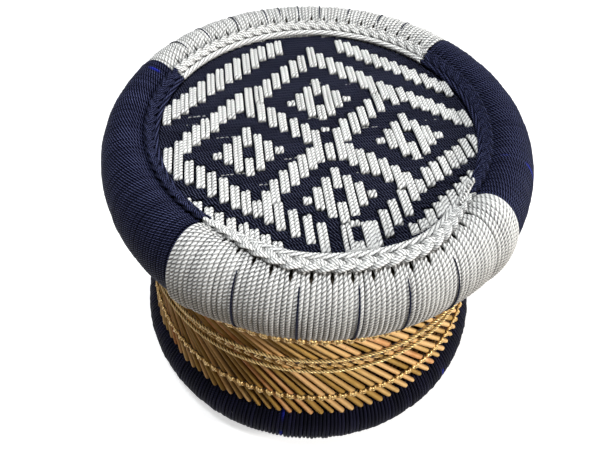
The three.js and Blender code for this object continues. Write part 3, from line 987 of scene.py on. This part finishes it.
def add_weft(looks, floats):
    """Navy cords across the seat. They dip where a white float lies over them, and are painted darker there,
    as shade.
    """
    skin = Skin()
    columns, lows, highs = np.array(floats).T[:, :, None]
    lean = np.radians(LEAN_PER_COLUMN * np.maximum(columns, 0.0)) * ROW_PITCH / COLUMN_PITCH
    for number in range(WEFT_FIRST, WEFT_LAST + 1):
        row = number * WEFT_PITCH / ROW_PITCH
        place = seat_place(0.0, row)
        span = weft_span(place)
        if span is None:
            continue
        start, end = span
        share = np.linspace(0.0, 1.0, max(LEAST_STEPS, int((end - start) / WEFT_STEP)))
        flat = place[None] + way_points(ACROSS, start, end, share)
        column = (start + share * (end - start)) / COLUMN_PITCH
        off = np.abs(column - columns + lean * (row - (lows + highs) / 2))
        over = (lows - WEFT_COVER_ROWS < row) & (row < highs + WEFT_COVER_ROWS)
        under = np.max((1.0 - smooth_step(*WEFT_DIP_COLUMNS, off)) * over, axis=0)
        side = 1 if number % 2 else -1
        wave = np.cos(column * COLUMN_PITCH / WEFT_WAVE_LENGTH * math.tau) * WEFT_WAVE * side
        height = up_the_slope(flat, SEAT_TOP - WEFT_THICK - WEFT_DEPTH + wave, WEFT_ABOVE_SLOPE)
        path = np.column_stack([flat, height - under * WEFT_DIP])
        rings, along = round_tube(path, UP, WEFT_RADIUS, WEFT_THICK, WEFT_SIDES)
        along = along + start + number * WEFT_LAY_SHIFT + chance.normal(0.0, WEFT_LAY_UNEVEN)
        # Painted shade where the weft dips under a float
        skin.add(rings, along, chance.uniform(0.0, 1.0), under[None, :, None])
    skin.make("seat_navy_weft", looks["weft"], ["woven_seat"])


# The lower side of the seat: plain rows of the same cord under a thin filling
BACK_WAY = way_at(0.0)
BACK_ROWS = 40
BACK_PITCH = 4.0
BACK_HALF = 2.05
BACK_THICK = 1.7
BACK_LIFT = 2.3
BACK_STEP = 2.5
BACK_WAVE = 0.6
BACK_WAVE_HALF_LENGTH = 4.6
FILLING_SIDES = 96
FILLING_BOTTOM = 284.2
FILLING_MIDDLE = 286.5
FILLING_TOP = 288.6
FILLING_HOLE = 2.0
FILLING_INSET = 0.5
FILLING_BULGE = 0.7
FILLING_TINT = 0.2


def add_seat_back(looks):
    skin = Skin()
    for row in range(-BACK_ROWS, BACK_ROWS):
        place = np.array([0.0, row * BACK_PITCH])
        span = clip_to_seat(place, BACK_WAY, -SEAT_EDGE, SEAT_EDGE, SEAT_EDGE)
        if span is None:
            continue
        start, end = span
        share = np.linspace(0.0, 1.0, max(LEAST_STEPS, int((end - start) / BACK_STEP)))
        flat = place[None] + way_points(BACK_WAY, start, end, share)
        side = 1 if row % 2 else -1
        wave = np.cos(flat[:, 0] / BACK_WAVE_HALF_LENGTH * math.pi) * BACK_WAVE * side
        path = np.column_stack([flat, SEAT_BOTTOM + BACK_LIFT + wave])
        rings, along = round_tube(path, UP, BACK_HALF, BACK_THICK, FINE_SIDES)
        skin.add(rings, along, chance.uniform(0.0, 1.0))
    outline = [
        (FILLING_HOLE, FILLING_BOTTOM),
        (SEAT_EDGE - FILLING_INSET, FILLING_BOTTOM),
        (SEAT_EDGE + FILLING_BULGE, FILLING_MIDDLE),
        (SEAT_EDGE - FILLING_INSET, FILLING_TOP),
        (FILLING_HOLE, FILLING_TOP),
    ]
    angle = np.linspace(0.0, math.tau, FILLING_SIDES + 1)[:-1]
    rings = [around(angle, radius, height) for radius, height in outline]
    skin.add(np.stack(rings), np.arange(float(len(outline))), FILLING_TINT)
    skin.make("seat_backing", looks["weft"])


# Reeds: two layers that cross, each of straight reeds with rounded ends. A layer has its way of leaning,
# its radius at the waist, how thick its reeds are, and the heights of their ends.
REED_COUNT = 108
REED_RADIUS = 3.1
REED_FLAT_SHARE = 0.94
REED_SIDES = 14
REED_PLACE_UNEVEN = 0.2
REED_BEND = 0.5
REED_LENGTH_SHARES = np.array([0.0, 0.004, 0.012, 0.03, 0.25, 0.5, 0.75, 0.97, 0.988, 0.996, 1.0])
REED_ROUND_SHARES = np.array([0.55, 0.82, 0.95, 1.0, 1.0, 1.0, 1.0, 1.0, 0.95, 0.82, 0.55])
REED_LAYERS = [
    {"name": "outer_reed_canes", "node": "outer_reeds", "slot": "reed",
     "sense": 1.0, "waist": WAIST_RADIUS, "radius_shares": (0.84, 1.06),
     "foot": 64.5, "foot_uneven": (-1.0, 2.0), "top": 224.0},
    # The inner layer's finish is a darker copy of the reeds', as painted shade
    {"name": "inner_reed_canes", "node": "inner_reeds", "slot": "inner_reed",
     "sense": -1.0, "waist": INNER_WAIST_RADIUS, "radius_shares": (0.84, 1.04),
     "foot": 67.5, "foot_uneven": None, "top": 221.5},
]


def add_reeds(looks):
    angle = np.arange(REED_COUNT) / REED_COUNT * math.tau
    out = outward(angle)
    lengths = REED_LENGTH_SHARES[None, :, None]
    for layer in REED_LAYERS:
        radii = REED_RADIUS * chance.uniform(*layer["radius_shares"], REED_COUNT)
        waist = layer["waist"] + chance.normal(0.0, REED_PLACE_UNEVEN, REED_COUNT)
        foot = np.full(REED_COUNT, layer["foot"])
        if layer["foot_uneven"]:
            foot = foot + chance.uniform(*layer["foot_uneven"], REED_COUNT)
        top = np.full(REED_COUNT, layer["top"])
        rise = UP - layer["sense"] * SLANT * sideways_of(out)
        middle = waist[:, None] * out + UP * WAIST_HEIGHT
        low, high = (middle + rise * (height - WAIST_HEIGHT)[:, None] for height in (foot, top))
        path = low[:, None] * (1.0 - lengths) + high[:, None] * lengths
        path = path + chance.normal(0.0, REED_BEND, (REED_COUNT, 1, 3)) * np.sin(lengths * math.pi)
        wide = radii[:, None] * REED_ROUND_SHARES
        rings, along = round_tube(path, out[:, None], wide, wide * REED_FLAT_SHARE, REED_SIDES)
        skin = Skin()
        skin.add(rings, along, chance.uniform(0.0, 1.0, REED_COUNT))
        skin.make(layer["name"], looks[layer["slot"]], [layer["node"]])


# Cords round the waist, a little further apart than their solids
WAIST_SPREAD = 10.8
WAIST_CORD_RADIUS = 1.8
WAIST_CORD_GAP = 0.3
WAIST_CORD_MIDDLE = WAIST_RADIUS + REED_RADIUS + WAIST_CORD_RADIUS + WAIST_CORD_GAP
WAIST_CORD_LAY = -11.4
WAIST_CORD_STEPS = 1296
WAIST_CORD_SIDES = 7
# Between them, a brown band, painted much darker as the shade of the recess, with a gold chevron of two
# cords for each reed
BAND_RADIUS = 172.4
BAND_WAVE = 0.9
BAND_OVERLAP = 1.4
BAND_HALF_THICKNESS = 1.0
BAND_STEPS_PER_REED = 4
BAND_SIDES = 8
BAND_TINT = 0.3
CHEVRON_HALF_HEIGHT = 6.4
BAND_HALF_HEIGHT = CHEVRON_HALF_HEIGHT + BAND_OVERLAP
CHEVRON_RADIUS = 175.8
CHEVRON_BULGE = 0.5
CHEVRON_STEPS = 9
CHEVRON_REACH_SHARE = 0.55
CHEVRON_SHIFT_SHARE = 0.3
CHEVRON_CORDS = [0.8, 0.4]
CHEVRON_FLAT_SHARE = 0.8
CHEVRON_TINTS = (0.0, 0.9)
# Rows of knots: the height of each row, and the thread that runs behind its knots, painted in full shade
KNOT_ROWS = {"upper": 214.0, "lower": 97.0}
TIE_STEPS_PER_REED = 8
TIE_SWING = 0.9
TIE_RISE = 0.4
TIE_WIDE = 0.55
TIE_THICK = 0.5
TIE_TINT = 0.1
# A knot: how far it stands out and hangs below its row, and the height and slope of its two turns
KNOT_PROUD = 0.6
KNOT_DROP = 1.6
KNOT_STEPS = 12
KNOT_TURNS = [(1.9, 0.75), (-1.5, 0.55)]
KNOT_TILT_SHARES = (0.7, 1.3)
KNOT_REACH = 3.9
KNOT_REACH_SHARES = (0.9, 1.1)
KNOT_TURN = {"bulge": 1.5, "roundness": 0.7, "depth": 0.7, "wide": 1.25, "thick": 1.1}
KNOT_LUMP = {"bulge": 2.3, "roundness": 0.6, "depth": 0.5, "wide": 1.3, "thick": 1.15}
LUMP_SWING = 1.4
LUMP_ASIDE = 0.8
LUMP_TURN = 2.4
LUMP_HALF_HEIGHT = 2.9


def add_waist_cords(looks):
    angle = np.linspace(0.0, math.tau, WAIST_CORD_STEPS)
    for name, spread in (("upper", WAIST_SPREAD), ("lower", -WAIST_SPREAD)):
        skin = Skin()
        middle = around(angle, WAIST_CORD_MIDDLE, WAIST_HEIGHT + spread)
        rope(skin, middle, outward(angle), WAIST_CORD_RADIUS, CORD_PLIES, WAIST_CORD_LAY, WAIST_CORD_SIDES)
        skin.make(f"waist_cord_{name}_twist", looks["gold_rope"], [f"waist_cord_{name}"])


def add_lacing(looks):
    band = Skin()
    angle = np.linspace(0.0, math.tau, REED_COUNT * BAND_STEPS_PER_REED + 1)
    middle = around(angle, BAND_RADIUS + np.cos(angle * REED_COUNT) * BAND_WAVE, WAIST_HEIGHT)
    rings, along = round_tube(middle, outward(angle), BAND_HALF_HEIGHT, BAND_HALF_THICKNESS, BAND_SIDES)
    band.add(rings, along, BAND_TINT)
    band.make("waist_band", looks["band"])
    lacing = Skin()
    share = np.linspace(-1.0, 1.0, CHEVRON_STEPS)
    pitch = math.tau / REED_COUNT
    radius = CHEVRON_RADIUS + CHEVRON_BULGE * np.cos(share * math.pi)
    height = WAIST_HEIGHT + share * CHEVRON_HALF_HEIGHT
    for reed in range(REED_COUNT):
        for number, half in enumerate(CHEVRON_CORDS):
            start = (reed + 0.5 + number * CHEVRON_SHIFT_SHARE) * pitch
            angle = start - (1.0 - np.abs(share)) * pitch * CHEVRON_REACH_SHARE
            path = around(angle, radius, height)
            rings, along = round_tube(path, outward(angle), half, half * CHEVRON_FLAT_SHARE, FINE_SIDES)
            lacing.add(rings, along, chance.uniform(*CHEVRON_TINTS))
    lacing.make("waist_lacing", looks["gold"])


def knot(skin, angle, back, height):
    """A hitch round one reed: two slanting turns over its face and a short lump between them."""
    out = outward(angle)
    aside = sideways_of(out)
    middle = out * (back + KNOT_PROUD) + UP * (height - KNOT_DROP)
    share = np.linspace(-1.0, 1.0, KNOT_STEPS)
    tilt = chance.uniform(*KNOT_TILT_SHARES)

    def lay(sideways, upward, form):
        off = form["bulge"] * np.cos(share * math.pi / 2) ** form["roundness"] - form["depth"]
        path = middle + aside * sideways[:, None] + UP * upward[:, None] + out * off[:, None]
        rings, along = round_tube(path, out, form["wide"], form["thick"], FINE_SIDES)
        skin.add(rings, along, chance.uniform(*LIGHT_TINTS))

    for lift, slope in KNOT_TURNS:
        reach = KNOT_REACH * chance.uniform(*KNOT_REACH_SHARES)
        lay(share * reach, lift - share * slope * reach / 2 * tilt, KNOT_TURN)
    lay(LUMP_SWING * np.sin(share * LUMP_TURN) + LUMP_ASIDE, share * LUMP_HALF_HEIGHT, KNOT_LUMP)


def add_knots(looks):
    """A knot in front of each reed, at the place where the slanting reed crosses the row."""
    for name, height in KNOT_ROWS.items():
        skin = Skin()
        run = SLANT * (height - WAIST_HEIGHT)
        shift = math.atan2(-run, WAIST_RADIUS)
        back = math.hypot(WAIST_RADIUS, run) + REED_RADIUS
        for reed in range(REED_COUNT):
            knot(skin, reed / REED_COUNT * math.tau + shift, back, height)
        angle = np.linspace(0.0, math.tau, REED_COUNT * TIE_STEPS_PER_REED)
        dip = np.cos((angle - shift) * REED_COUNT)
        path = around(angle, back + dip * TIE_SWING - TIE_SWING, height + TIE_RISE * dip)
        rings, along = round_tube(path, outward(angle), TIE_WIDE, TIE_THICK, FINE_SIDES)
        # The thread behind the knots is painted in full shade
        skin.add(rings, along, TIE_TINT, 1.0)
        skin.make(f"{name}_knots", looks["gold"], [f"{name}_knot_row"])


# Ramps of the finishes: place, red, green and blue of each stop, from the dark valleys to the bright plies.
# On the cords, the dark valleys are painted shade and the bright plies painted highlights.
WHITE = [(0.08, 0.09, 0.092, 0.1), (0.4, 0.56, 0.56, 0.555), (0.66, 0.92, 0.92, 0.9)]
NAVY = [(0.25, 0.001, 0.0012, 0.006), (0.45, 0.0015, 0.002, 0.014), (0.8, 0.085, 0.097, 0.205)]
WEFT = [(0.25, 0.001, 0.001, 0.004), (0.45, 0.001, 0.0012, 0.006), (0.8, 0.075, 0.083, 0.14)]
BLACK = [(0.2, 0.0006, 0.0006, 0.002), (0.6, 0.002, 0.002, 0.008), (0.9, 0.016, 0.016, 0.05)]
GOLD = [(0.12, 0.05, 0.014, 0.001), (0.42, 0.5, 0.24, 0.04), (0.72, 1.0, 0.74, 0.32)]
REED = [
    (0.0, 0.3, 0.17, 0.03), (0.2, 0.56, 0.34, 0.09), (0.5, 0.92, 0.6, 0.25), (0.78, 0.94, 0.57, 0.26),
    (0.95, 0.6, 0.18, 0.04),
]
# The inner reeds: the reed colours made much darker, painted shade for the layer behind
SHADED_INNER_REED = [(0.1, 0.045, 0.016, 0.004), (0.5, 0.11, 0.045, 0.012), (0.9, 0.18, 0.08, 0.02)]
# The waist band: brown, painted much darker as the shade of the recess it lies in
SHADED_BAND = [(0.3, 0.005, 0.002, 0.001), (0.55, 0.02, 0.007, 0.002), (0.8, 0.07, 0.028, 0.007)]
# The grass inside the rings: dark brown, painted shade where it shows between the turns
SHADED_GRASS = [(0.3, 0.012, 0.009, 0.006), (0.7, 0.07, 0.05, 0.03)]
# Darker colours for the specks and for the painted shade on the reeds' sides
REED_SPECK_AND_SHADE = colour(0.12, 0.045, 0.01)
INNER_REED_SPECK_AND_SHADE = colour(0.04, 0.02, 0.01)
# Single turns of the dark cords have short bright blue streaks
BLUE = colour(0.02, 0.03, 0.4)
STREAK_STRETCH = (0.035, 0.0, 1.0)
STREAK_TURN_SHARES = (0.965, 0.97)
STREAK_LENGTH_SHARES = (0.5, 0.58)
# The streaks keep only this share in the valleys between plies: painted shade
STREAK_VALLEY_SHARE = 0.25
# Strands of a ply and their lead, and how much of a cord's brightness each of its details gives. The ply
# and strand shares paint shade into the valleys and highlights onto the backs; tint, fibre and patch are
# the cord's own unevenness
STRANDS = 4.0
STRAND_LEAD = 3.0
PLY_SHARE = 0.62
STRAND_SHARE = 0.12
TINT_SHARE = 0.2
FIBRE_SHARE = 0.3
PATCH_SHARE = 0.3
LEVEL_SHARE = 0.1
# How fine the fibres and patches of the cords are, per metre, and how rough its valleys and fibres are and
# how far its strands and fibres stand out beside its plies
FIBRE_FINENESS = 1100.0
PATCH_FINENESS = 45.0
VALLEY_ROUGHNESS = 0.25
FIBRE_ROUGHNESS = 0.12
STRAND_RELIEF_SHARE = 0.16
FIBRE_RELIEF_SHARE = 0.12
# The finish of each kind of cord: relief in millimetres, deep is how light its places of painted shade
# stay, crisp how narrow the painted highlight on the back of a ply is, and uneven how much its colour varies
CORD_LOOKS = {
    "white": dict(name="white_cord", stops=WHITE, lay=WHITE_LAY, relief=0.85, roughness=0.3, gloss=0.2,
                  crisp=1.2, uneven=0.8),
    "navy": dict(name="navy_cord", stops=NAVY, lay=NAVY_LAY, relief=0.45, roughness=0.42, gloss=0.05,
                 streak=BLUE, crisp=8.0, uneven=0.6),
    "black": dict(name="black_cord", stops=BLACK, lay=BASE_LAY, relief=0.3, roughness=0.46, gloss=0.05,
                  streak=BLUE, crisp=1.5),
    "weft": dict(name="seat_cord", stops=WEFT, lay=NAVY_LAY, relief=0.45, roughness=0.5, gloss=0.03,
                 crisp=8.0, uneven=0.5),
    "white_fine": dict(name="fine_white_cord", stops=WHITE, lay=8.0, relief=0.5, roughness=0.3, gloss=0.2,
                       deep=0.25, crisp=1.3, uneven=0.4),
    "navy_fine": dict(name="fine_navy_cord", stops=NAVY, lay=6.0, relief=0.35, roughness=0.42, gloss=0.04,
                      crisp=6.0, uneven=0.5),
    "gold_rope": dict(name="gold_rope", stops=GOLD, lay=40.0, relief=0.15, roughness=0.2, gloss=0.3,
                      metal=0.3, deep=0.08, crisp=0.3, uneven=0.5),
    "gold": dict(name="gold_cord", stops=GOLD, plies=2, lay=5.0, relief=0.2, roughness=0.2, gloss=0.35,
                 metal=0.3, deep=0.1, crisp=0.9, uneven=0.7),
}


def cord_look(name, stops, lay, relief, roughness, gloss, plies=CORD_PLIES, metal=0.0, deep=0.3,
              streak=None, crisp=1.0, uneven=1.0):
    """A twisted cord: its plies run round it, and each ply is made of fine strands. Its colour is painted
    darker in the valleys, as shade, and brighter on the backs of plies and strands, as highlights.
    """
    look = Look(name, specular_ior_level=gloss, metallic=metal)
    cord_map = look.node("ShaderNodeUVMap", uv_map="cord")
    along = look.node("ShaderNodeSeparateXYZ", [cord_map])
    turn = along.output("Y") * float(plies) + along * (plies / lay)
    ply = 1.0 - (turn.fraction() * 2.0 - 1.0) ** 2.0
    strand = (turn * STRANDS - along * (STRAND_LEAD / lay)).fraction()
    ridge = 1.0 - (strand * 2.0 - 1.0).size()
    place = look.node("ShaderNodeTexCoord", result="Object")
    fibre = look.noise(place, FIBRE_FINENESS, detail=2.0)
    patch = look.noise(place, PATCH_FINENESS, detail=3.0)
    tint = look.attribute("tint")
    # Painted shade and highlights come from ply and ridge; tint, fibre and patch are the cord's own
    # unevenness
    level = ply ** crisp * PLY_SHARE + ridge * STRAND_SHARE + (tint - 0.5) * (TINT_SHARE * uneven)
    level = level + (fibre - 0.5) * (FIBRE_SHARE * uneven) + (patch - 0.5) * (PATCH_SHARE * uneven)
    mixed = look.ramp(level + LEVEL_SHARE, stops)
    if streak:
        bright = look.noise(cord_map, detail=1.0, stretch=STREAK_STRETCH)
        streaked = look.between(tint, *STREAK_TURN_SHARES) * look.between(bright, *STREAK_LENGTH_SHARES)
        # Painted shade: the streaks fade into the valleys between plies
        on_ply = STREAK_VALLEY_SHARE + (1.0 - STREAK_VALLEY_SHARE) * ply
        mixed = look.blend(streaked * on_ply, mixed, streak)
    # Painted shade from the mesh attribute darkens the colour, down to deep
    dark = look.blend(look.attribute("painted_shade"), colour(1.0, 1.0, 1.0), colour(deep, deep, deep))
    look.set(
        base_color=look.multiply(mixed, dark),
        roughness=roughness + VALLEY_ROUGHNESS * (1.0 - ply) + FIBRE_ROUGHNESS * fibre,
        normal=look.bump(ply + ridge * STRAND_RELIEF_SHARE + fibre * FIBRE_RELIEF_SHARE, relief),
    )
    return look.material


# Skin of the reeds. Stretches give how often a streak or fibre changes along a millimetre and in one turn
# round the reed, and finenesses are per metre. A reed's own tint, its patches and its streaks choose its
# place on the ramp. Specks are darker, and both sides, away from the turn that faces outward, get painted
# shade.
REED_GLOSS = 0.06
REED_STREAK_STRETCH = (0.09, 22.0, 1.0)
REED_FIBRE_STRETCH = (0.3, 60.0, 1.0)
REED_PATCH_FINENESS = 60.0
REED_SPECK_FINENESS = 420.0
REED_TINT_SHARE = 0.78
REED_PATCH_SHARE = 0.3
REED_STREAK_SHARE = 0.16
REED_DARKER_SHARE = 0.12
SPECK_EDGE_SHARES = (0.63, 0.72)
SPECK_DARK_SHARE = 0.35
FACE_TURN = 0.25
SIDE_EDGE_SHARES = (0.4, 1.0)
SIDE_SHADE_SHARE = 0.65
REED_ROUGHNESS = 0.36
PATCH_ROUGHNESS = 0.22
REED_FIBRE_RELIEF_SHARE = 0.6
REED_STREAK_RELIEF_SHARE = 0.4
REED_RELIEF = 0.12
REED_RELIEF_STRENGTH = 0.6


def reed_look(name, stops, dark):
    look = Look(name, specular_ior_level=REED_GLOSS)
    cord_map = look.node("ShaderNodeUVMap", uv_map="cord")
    place = look.node("ShaderNodeTexCoord", result="Object")
    streak = look.noise(cord_map, detail=4.0, stretch=REED_STREAK_STRETCH)
    fibre = look.noise(cord_map, detail=2.0, stretch=REED_FIBRE_STRETCH)
    patch = look.noise(place, REED_PATCH_FINENESS, detail=3.0)
    speck = look.noise(place, REED_SPECK_FINENESS, detail=2.0)
    level = look.attribute("tint") * REED_TINT_SHARE + patch * REED_PATCH_SHARE + streak * REED_STREAK_SHARE
    mixed = look.ramp(level - REED_DARKER_SHARE, stops)
    spotted = look.blend(look.between(speck, *SPECK_EDGE_SHARES) * SPECK_DARK_SHARE, mixed, dark)
    turn = look.node("ShaderNodeSeparateXYZ", [cord_map], "Y")
    # Painted shade on both sides of the reed, away from its outward face
    aside = (turn - FACE_TURN).size() * 4.0
    look.set(
        base_color=look.blend(look.between(aside, *SIDE_EDGE_SHARES) * SIDE_SHADE_SHARE, spotted, dark),
        roughness=REED_ROUGHNESS + PATCH_ROUGHNESS * patch,
        normal=look.bump(
            fibre * REED_FIBRE_RELIEF_SHARE + streak * REED_STREAK_RELIEF_SHARE,
            REED_RELIEF, REED_RELIEF_STRENGTH,
        ),
    )
    return look.material


# The waist band and the grass bundles: finenesses per metre, stretches, mixing shares and relief
BAND_FINENESS = 240.0
BAND_STREAK_STRETCH = (0.6, 30.0, 1.0)
BAND_PATCH_SHARE = 0.6
BAND_STREAK_SHARE = 0.4
BAND_ROUGHNESS = 0.55
BAND_STREAK_ROUGHNESS = 0.2
BAND_RELIEF = 0.3
GRASS_FINENESS = 500.0
GRASS_STRETCH = (1.0, 1.0, 0.2)
GRASS_PATCH_FINENESS = 60.0
GRASS_STREAK_SHARE = 0.7
GRASS_PATCH_SHARE = 0.3
GRASS_ROUGHNESS = 0.8
GRASS_PATCH_ROUGHNESS = 0.1
GRASS_RELIEF = 0.4


def band_look():
    look = Look("shaded_lacing_band")
    cord_map = look.node("ShaderNodeUVMap", uv_map="cord")
    place = look.node("ShaderNodeTexCoord", result="Object")
    patch = look.noise(place, BAND_FINENESS, detail=3.0)
    streak = look.noise(cord_map, detail=3.0, stretch=BAND_STREAK_STRETCH)
    look.set(
        base_color=look.ramp(patch * BAND_PATCH_SHARE + streak * BAND_STREAK_SHARE, SHADED_BAND),
        roughness=BAND_ROUGHNESS + BAND_STREAK_ROUGHNESS * streak,
        normal=look.bump(streak, BAND_RELIEF),
    )
    return look.material


def grass_look():
    look = Look("grass_bundle")
    place = look.node("ShaderNodeTexCoord", result="Object")
    streak = look.noise(place, GRASS_FINENESS, detail=3.0, stretch=GRASS_STRETCH)
    patch = look.noise(place, GRASS_PATCH_FINENESS, detail=2.0)
    look.set(
        base_color=look.ramp(streak * GRASS_STREAK_SHARE + patch * GRASS_PATCH_SHARE, SHADED_GRASS),
        roughness=GRASS_ROUGHNESS + GRASS_PATCH_ROUGHNESS * patch,
        normal=look.bump(streak, GRASS_RELIEF),
    )
    return look.material


def make_looks():
    looks = {key: cord_look(**finish) for key, finish in CORD_LOOKS.items()}
    looks["reed"] = reed_look("reed_skin", REED, REED_SPECK_AND_SHADE)
    looks["inner_reed"] = reed_look("shaded_inner_reed_skin", SHADED_INNER_REED, INNER_REED_SPECK_AND_SHADE)
    looks["band"] = band_look()
    looks["grass"] = grass_look()
    return looks


# The photograph's view: focal length and width in pixels, place in millimetres, tilt and roll in degrees
FOCAL_PIXELS = 560.0
PICTURE_WIDTH_PIXELS = 600.0
SENSOR_WIDTH = 36.0
CAMERA_PLACE = (-13.53, -398.12, 637.87)
CAMERA_TILT = 51.131
CAMERA_ROLL = 2.1133
# The studio, in metres and watts
CLIP_START = 0.05
CLIP_END = 20.0
FLOOR_HALF = 3.0
LAMP_TARGET = (0.0, 0.0, 0.2)
LAMPS = [
    {"name": "key", "place": (1.5, -0.6, 0.9), "size": 0.3, "power": 28.0, "tone": (1.0, 0.98, 0.95)},
    {"name": "top", "place": (-0.2, -0.1, 2.0), "size": 0.45, "power": 32.0, "tone": (0.955, 0.98, 1.0)},
    {"name": "fill", "place": (-0.3, -1.6, 0.9), "size": 0.8, "power": 0.3, "tone": (1.0, 0.82, 0.62)},
]
# Colours that light the stool, and those that the camera and gloss see
ROOM_COLOUR = colour(0.06, 0.056, 0.05)
ROOM_SEEN = colour(1.0, 1.0, 1.0)
FLOOR_COLOUR = colour(0.18, 0.13, 0.08)
FLOOR_SEEN = colour(0.8, 0.8, 0.8)
FLOOR_DARK = colour(0.0, 0.0, 0.0)
FLOOR_GLOW = colour(0.62, 0.62, 0.62)
FLOOR_ROUGHNESS = 0.9
FLOOR_GLOSS = 0.1


def add_camera():
    data = bpy.data.cameras.new("camera")
    data.sensor_width = SENSOR_WIDTH
    data.lens = SENSOR_WIDTH * FOCAL_PIXELS / PICTURE_WIDTH_PIXELS
    data.clip_start = CLIP_START
    data.clip_end = CLIP_END
    camera = bpy.data.objects.new("camera", data)
    bpy.context.scene.collection.objects.link(camera)
    tilt = math.radians(CAMERA_TILT)
    roll = math.radians(CAMERA_ROLL)
    level = Vector((1.0, 0.0, 0.0))
    steep = Vector((0.0, math.sin(tilt), math.cos(tilt)))
    right = level * math.cos(roll) + steep * math.sin(roll)
    up = steep * math.cos(roll) - level * math.sin(roll)
    back = Vector((0.0, -math.cos(tilt), math.sin(tilt)))
    turned = Matrix((right, up, back)).transposed().to_4x4()
    camera.matrix_world = Matrix.Translation(Vector(CAMERA_PLACE) * MM) @ turned
    bpy.context.scene.camera = camera


def add_lamp(name, place, size, power, tone):
    data = bpy.data.lights.new(name, "AREA")
    data.size = size
    data.energy = power
    data.color = tone
    lamp = bpy.data.objects.new(name, data)
    bpy.context.scene.collection.objects.link(lamp)
    lamp.location = place
    lamp.rotation_euler = (Vector(LAMP_TARGET) - Vector(place)).to_track_quat("-Z", "Y").to_euler()


def seen_share(nodes):
    """1 for what the camera sees, by itself, in gloss or through glass, and 0 for what lights the stool."""
    camera = nodes.node("ShaderNodeLightPath", result="Is Camera Ray")
    return camera + camera.output("Is Glossy Ray") + camera.output("Is Transmission Ray")


def add_floor():
    """A pale floor that keeps the stool's shadow."""
    mesh = bpy.data.meshes.new("floor")
    near, far = -FLOOR_HALF, FLOOR_HALF
    mesh.from_pydata([(near, near, 0), (far, near, 0), (far, far, 0), (near, far, 0)], [], [(0, 1, 2, 3)])
    floor = bpy.data.objects.new("floor", mesh)
    bpy.context.scene.collection.objects.link(floor)
    look = Look("pale_floor", roughness=FLOOR_ROUGHNESS, specular_ior_level=FLOOR_GLOSS)
    seen = seen_share(look)
    look.set(
        emission_strength=1.0,
        base_color=look.blend(seen, FLOOR_COLOUR, FLOOR_SEEN),
        emission_color=look.blend(seen, FLOOR_DARK, FLOOR_GLOW),
    )
    floor.data.materials.append(look.material)


def add_studio():
    scene = bpy.context.scene
    scene.view_settings.view_transform = "Standard"
    scene.world = bpy.data.worlds.new("studio")
    scene.world.use_nodes = True
    nodes = Nodes(scene.world.node_tree)
    background = next(n for n in nodes.tree.nodes if n.type == "BACKGROUND")
    nodes.join(background.inputs["Color"], nodes.blend(seen_share(nodes), ROOM_COLOUR, ROOM_SEEN))
    add_floor()
    for lamp in LAMPS:
        add_lamp(**lamp)


def dress_cores(looks):
    """The grass bundles inside both rings keep their solids. Their finish is dark brown, painted shade for
    the gaps between the turns.
    """
    for name in ("rim_core", "base_core"):
        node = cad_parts[name]
        node.data.materials.clear()
        node.data.materials.append(looks["grass"])


def main():
    looks = make_looks()
    add_camera()
    add_studio()
    dress_cores(looks)
    add_rings(looks)
    add_trims(looks)
    floats = floats_of_pattern()
    add_floats(looks, floats)
    add_weft(looks, floats)
    add_seat_back(looks)
    add_reeds(looks)
    add_waist_cords(looks)
    add_lacing(looks)
    add_knots(looks)


main()
bpy.context.view_layer.update()
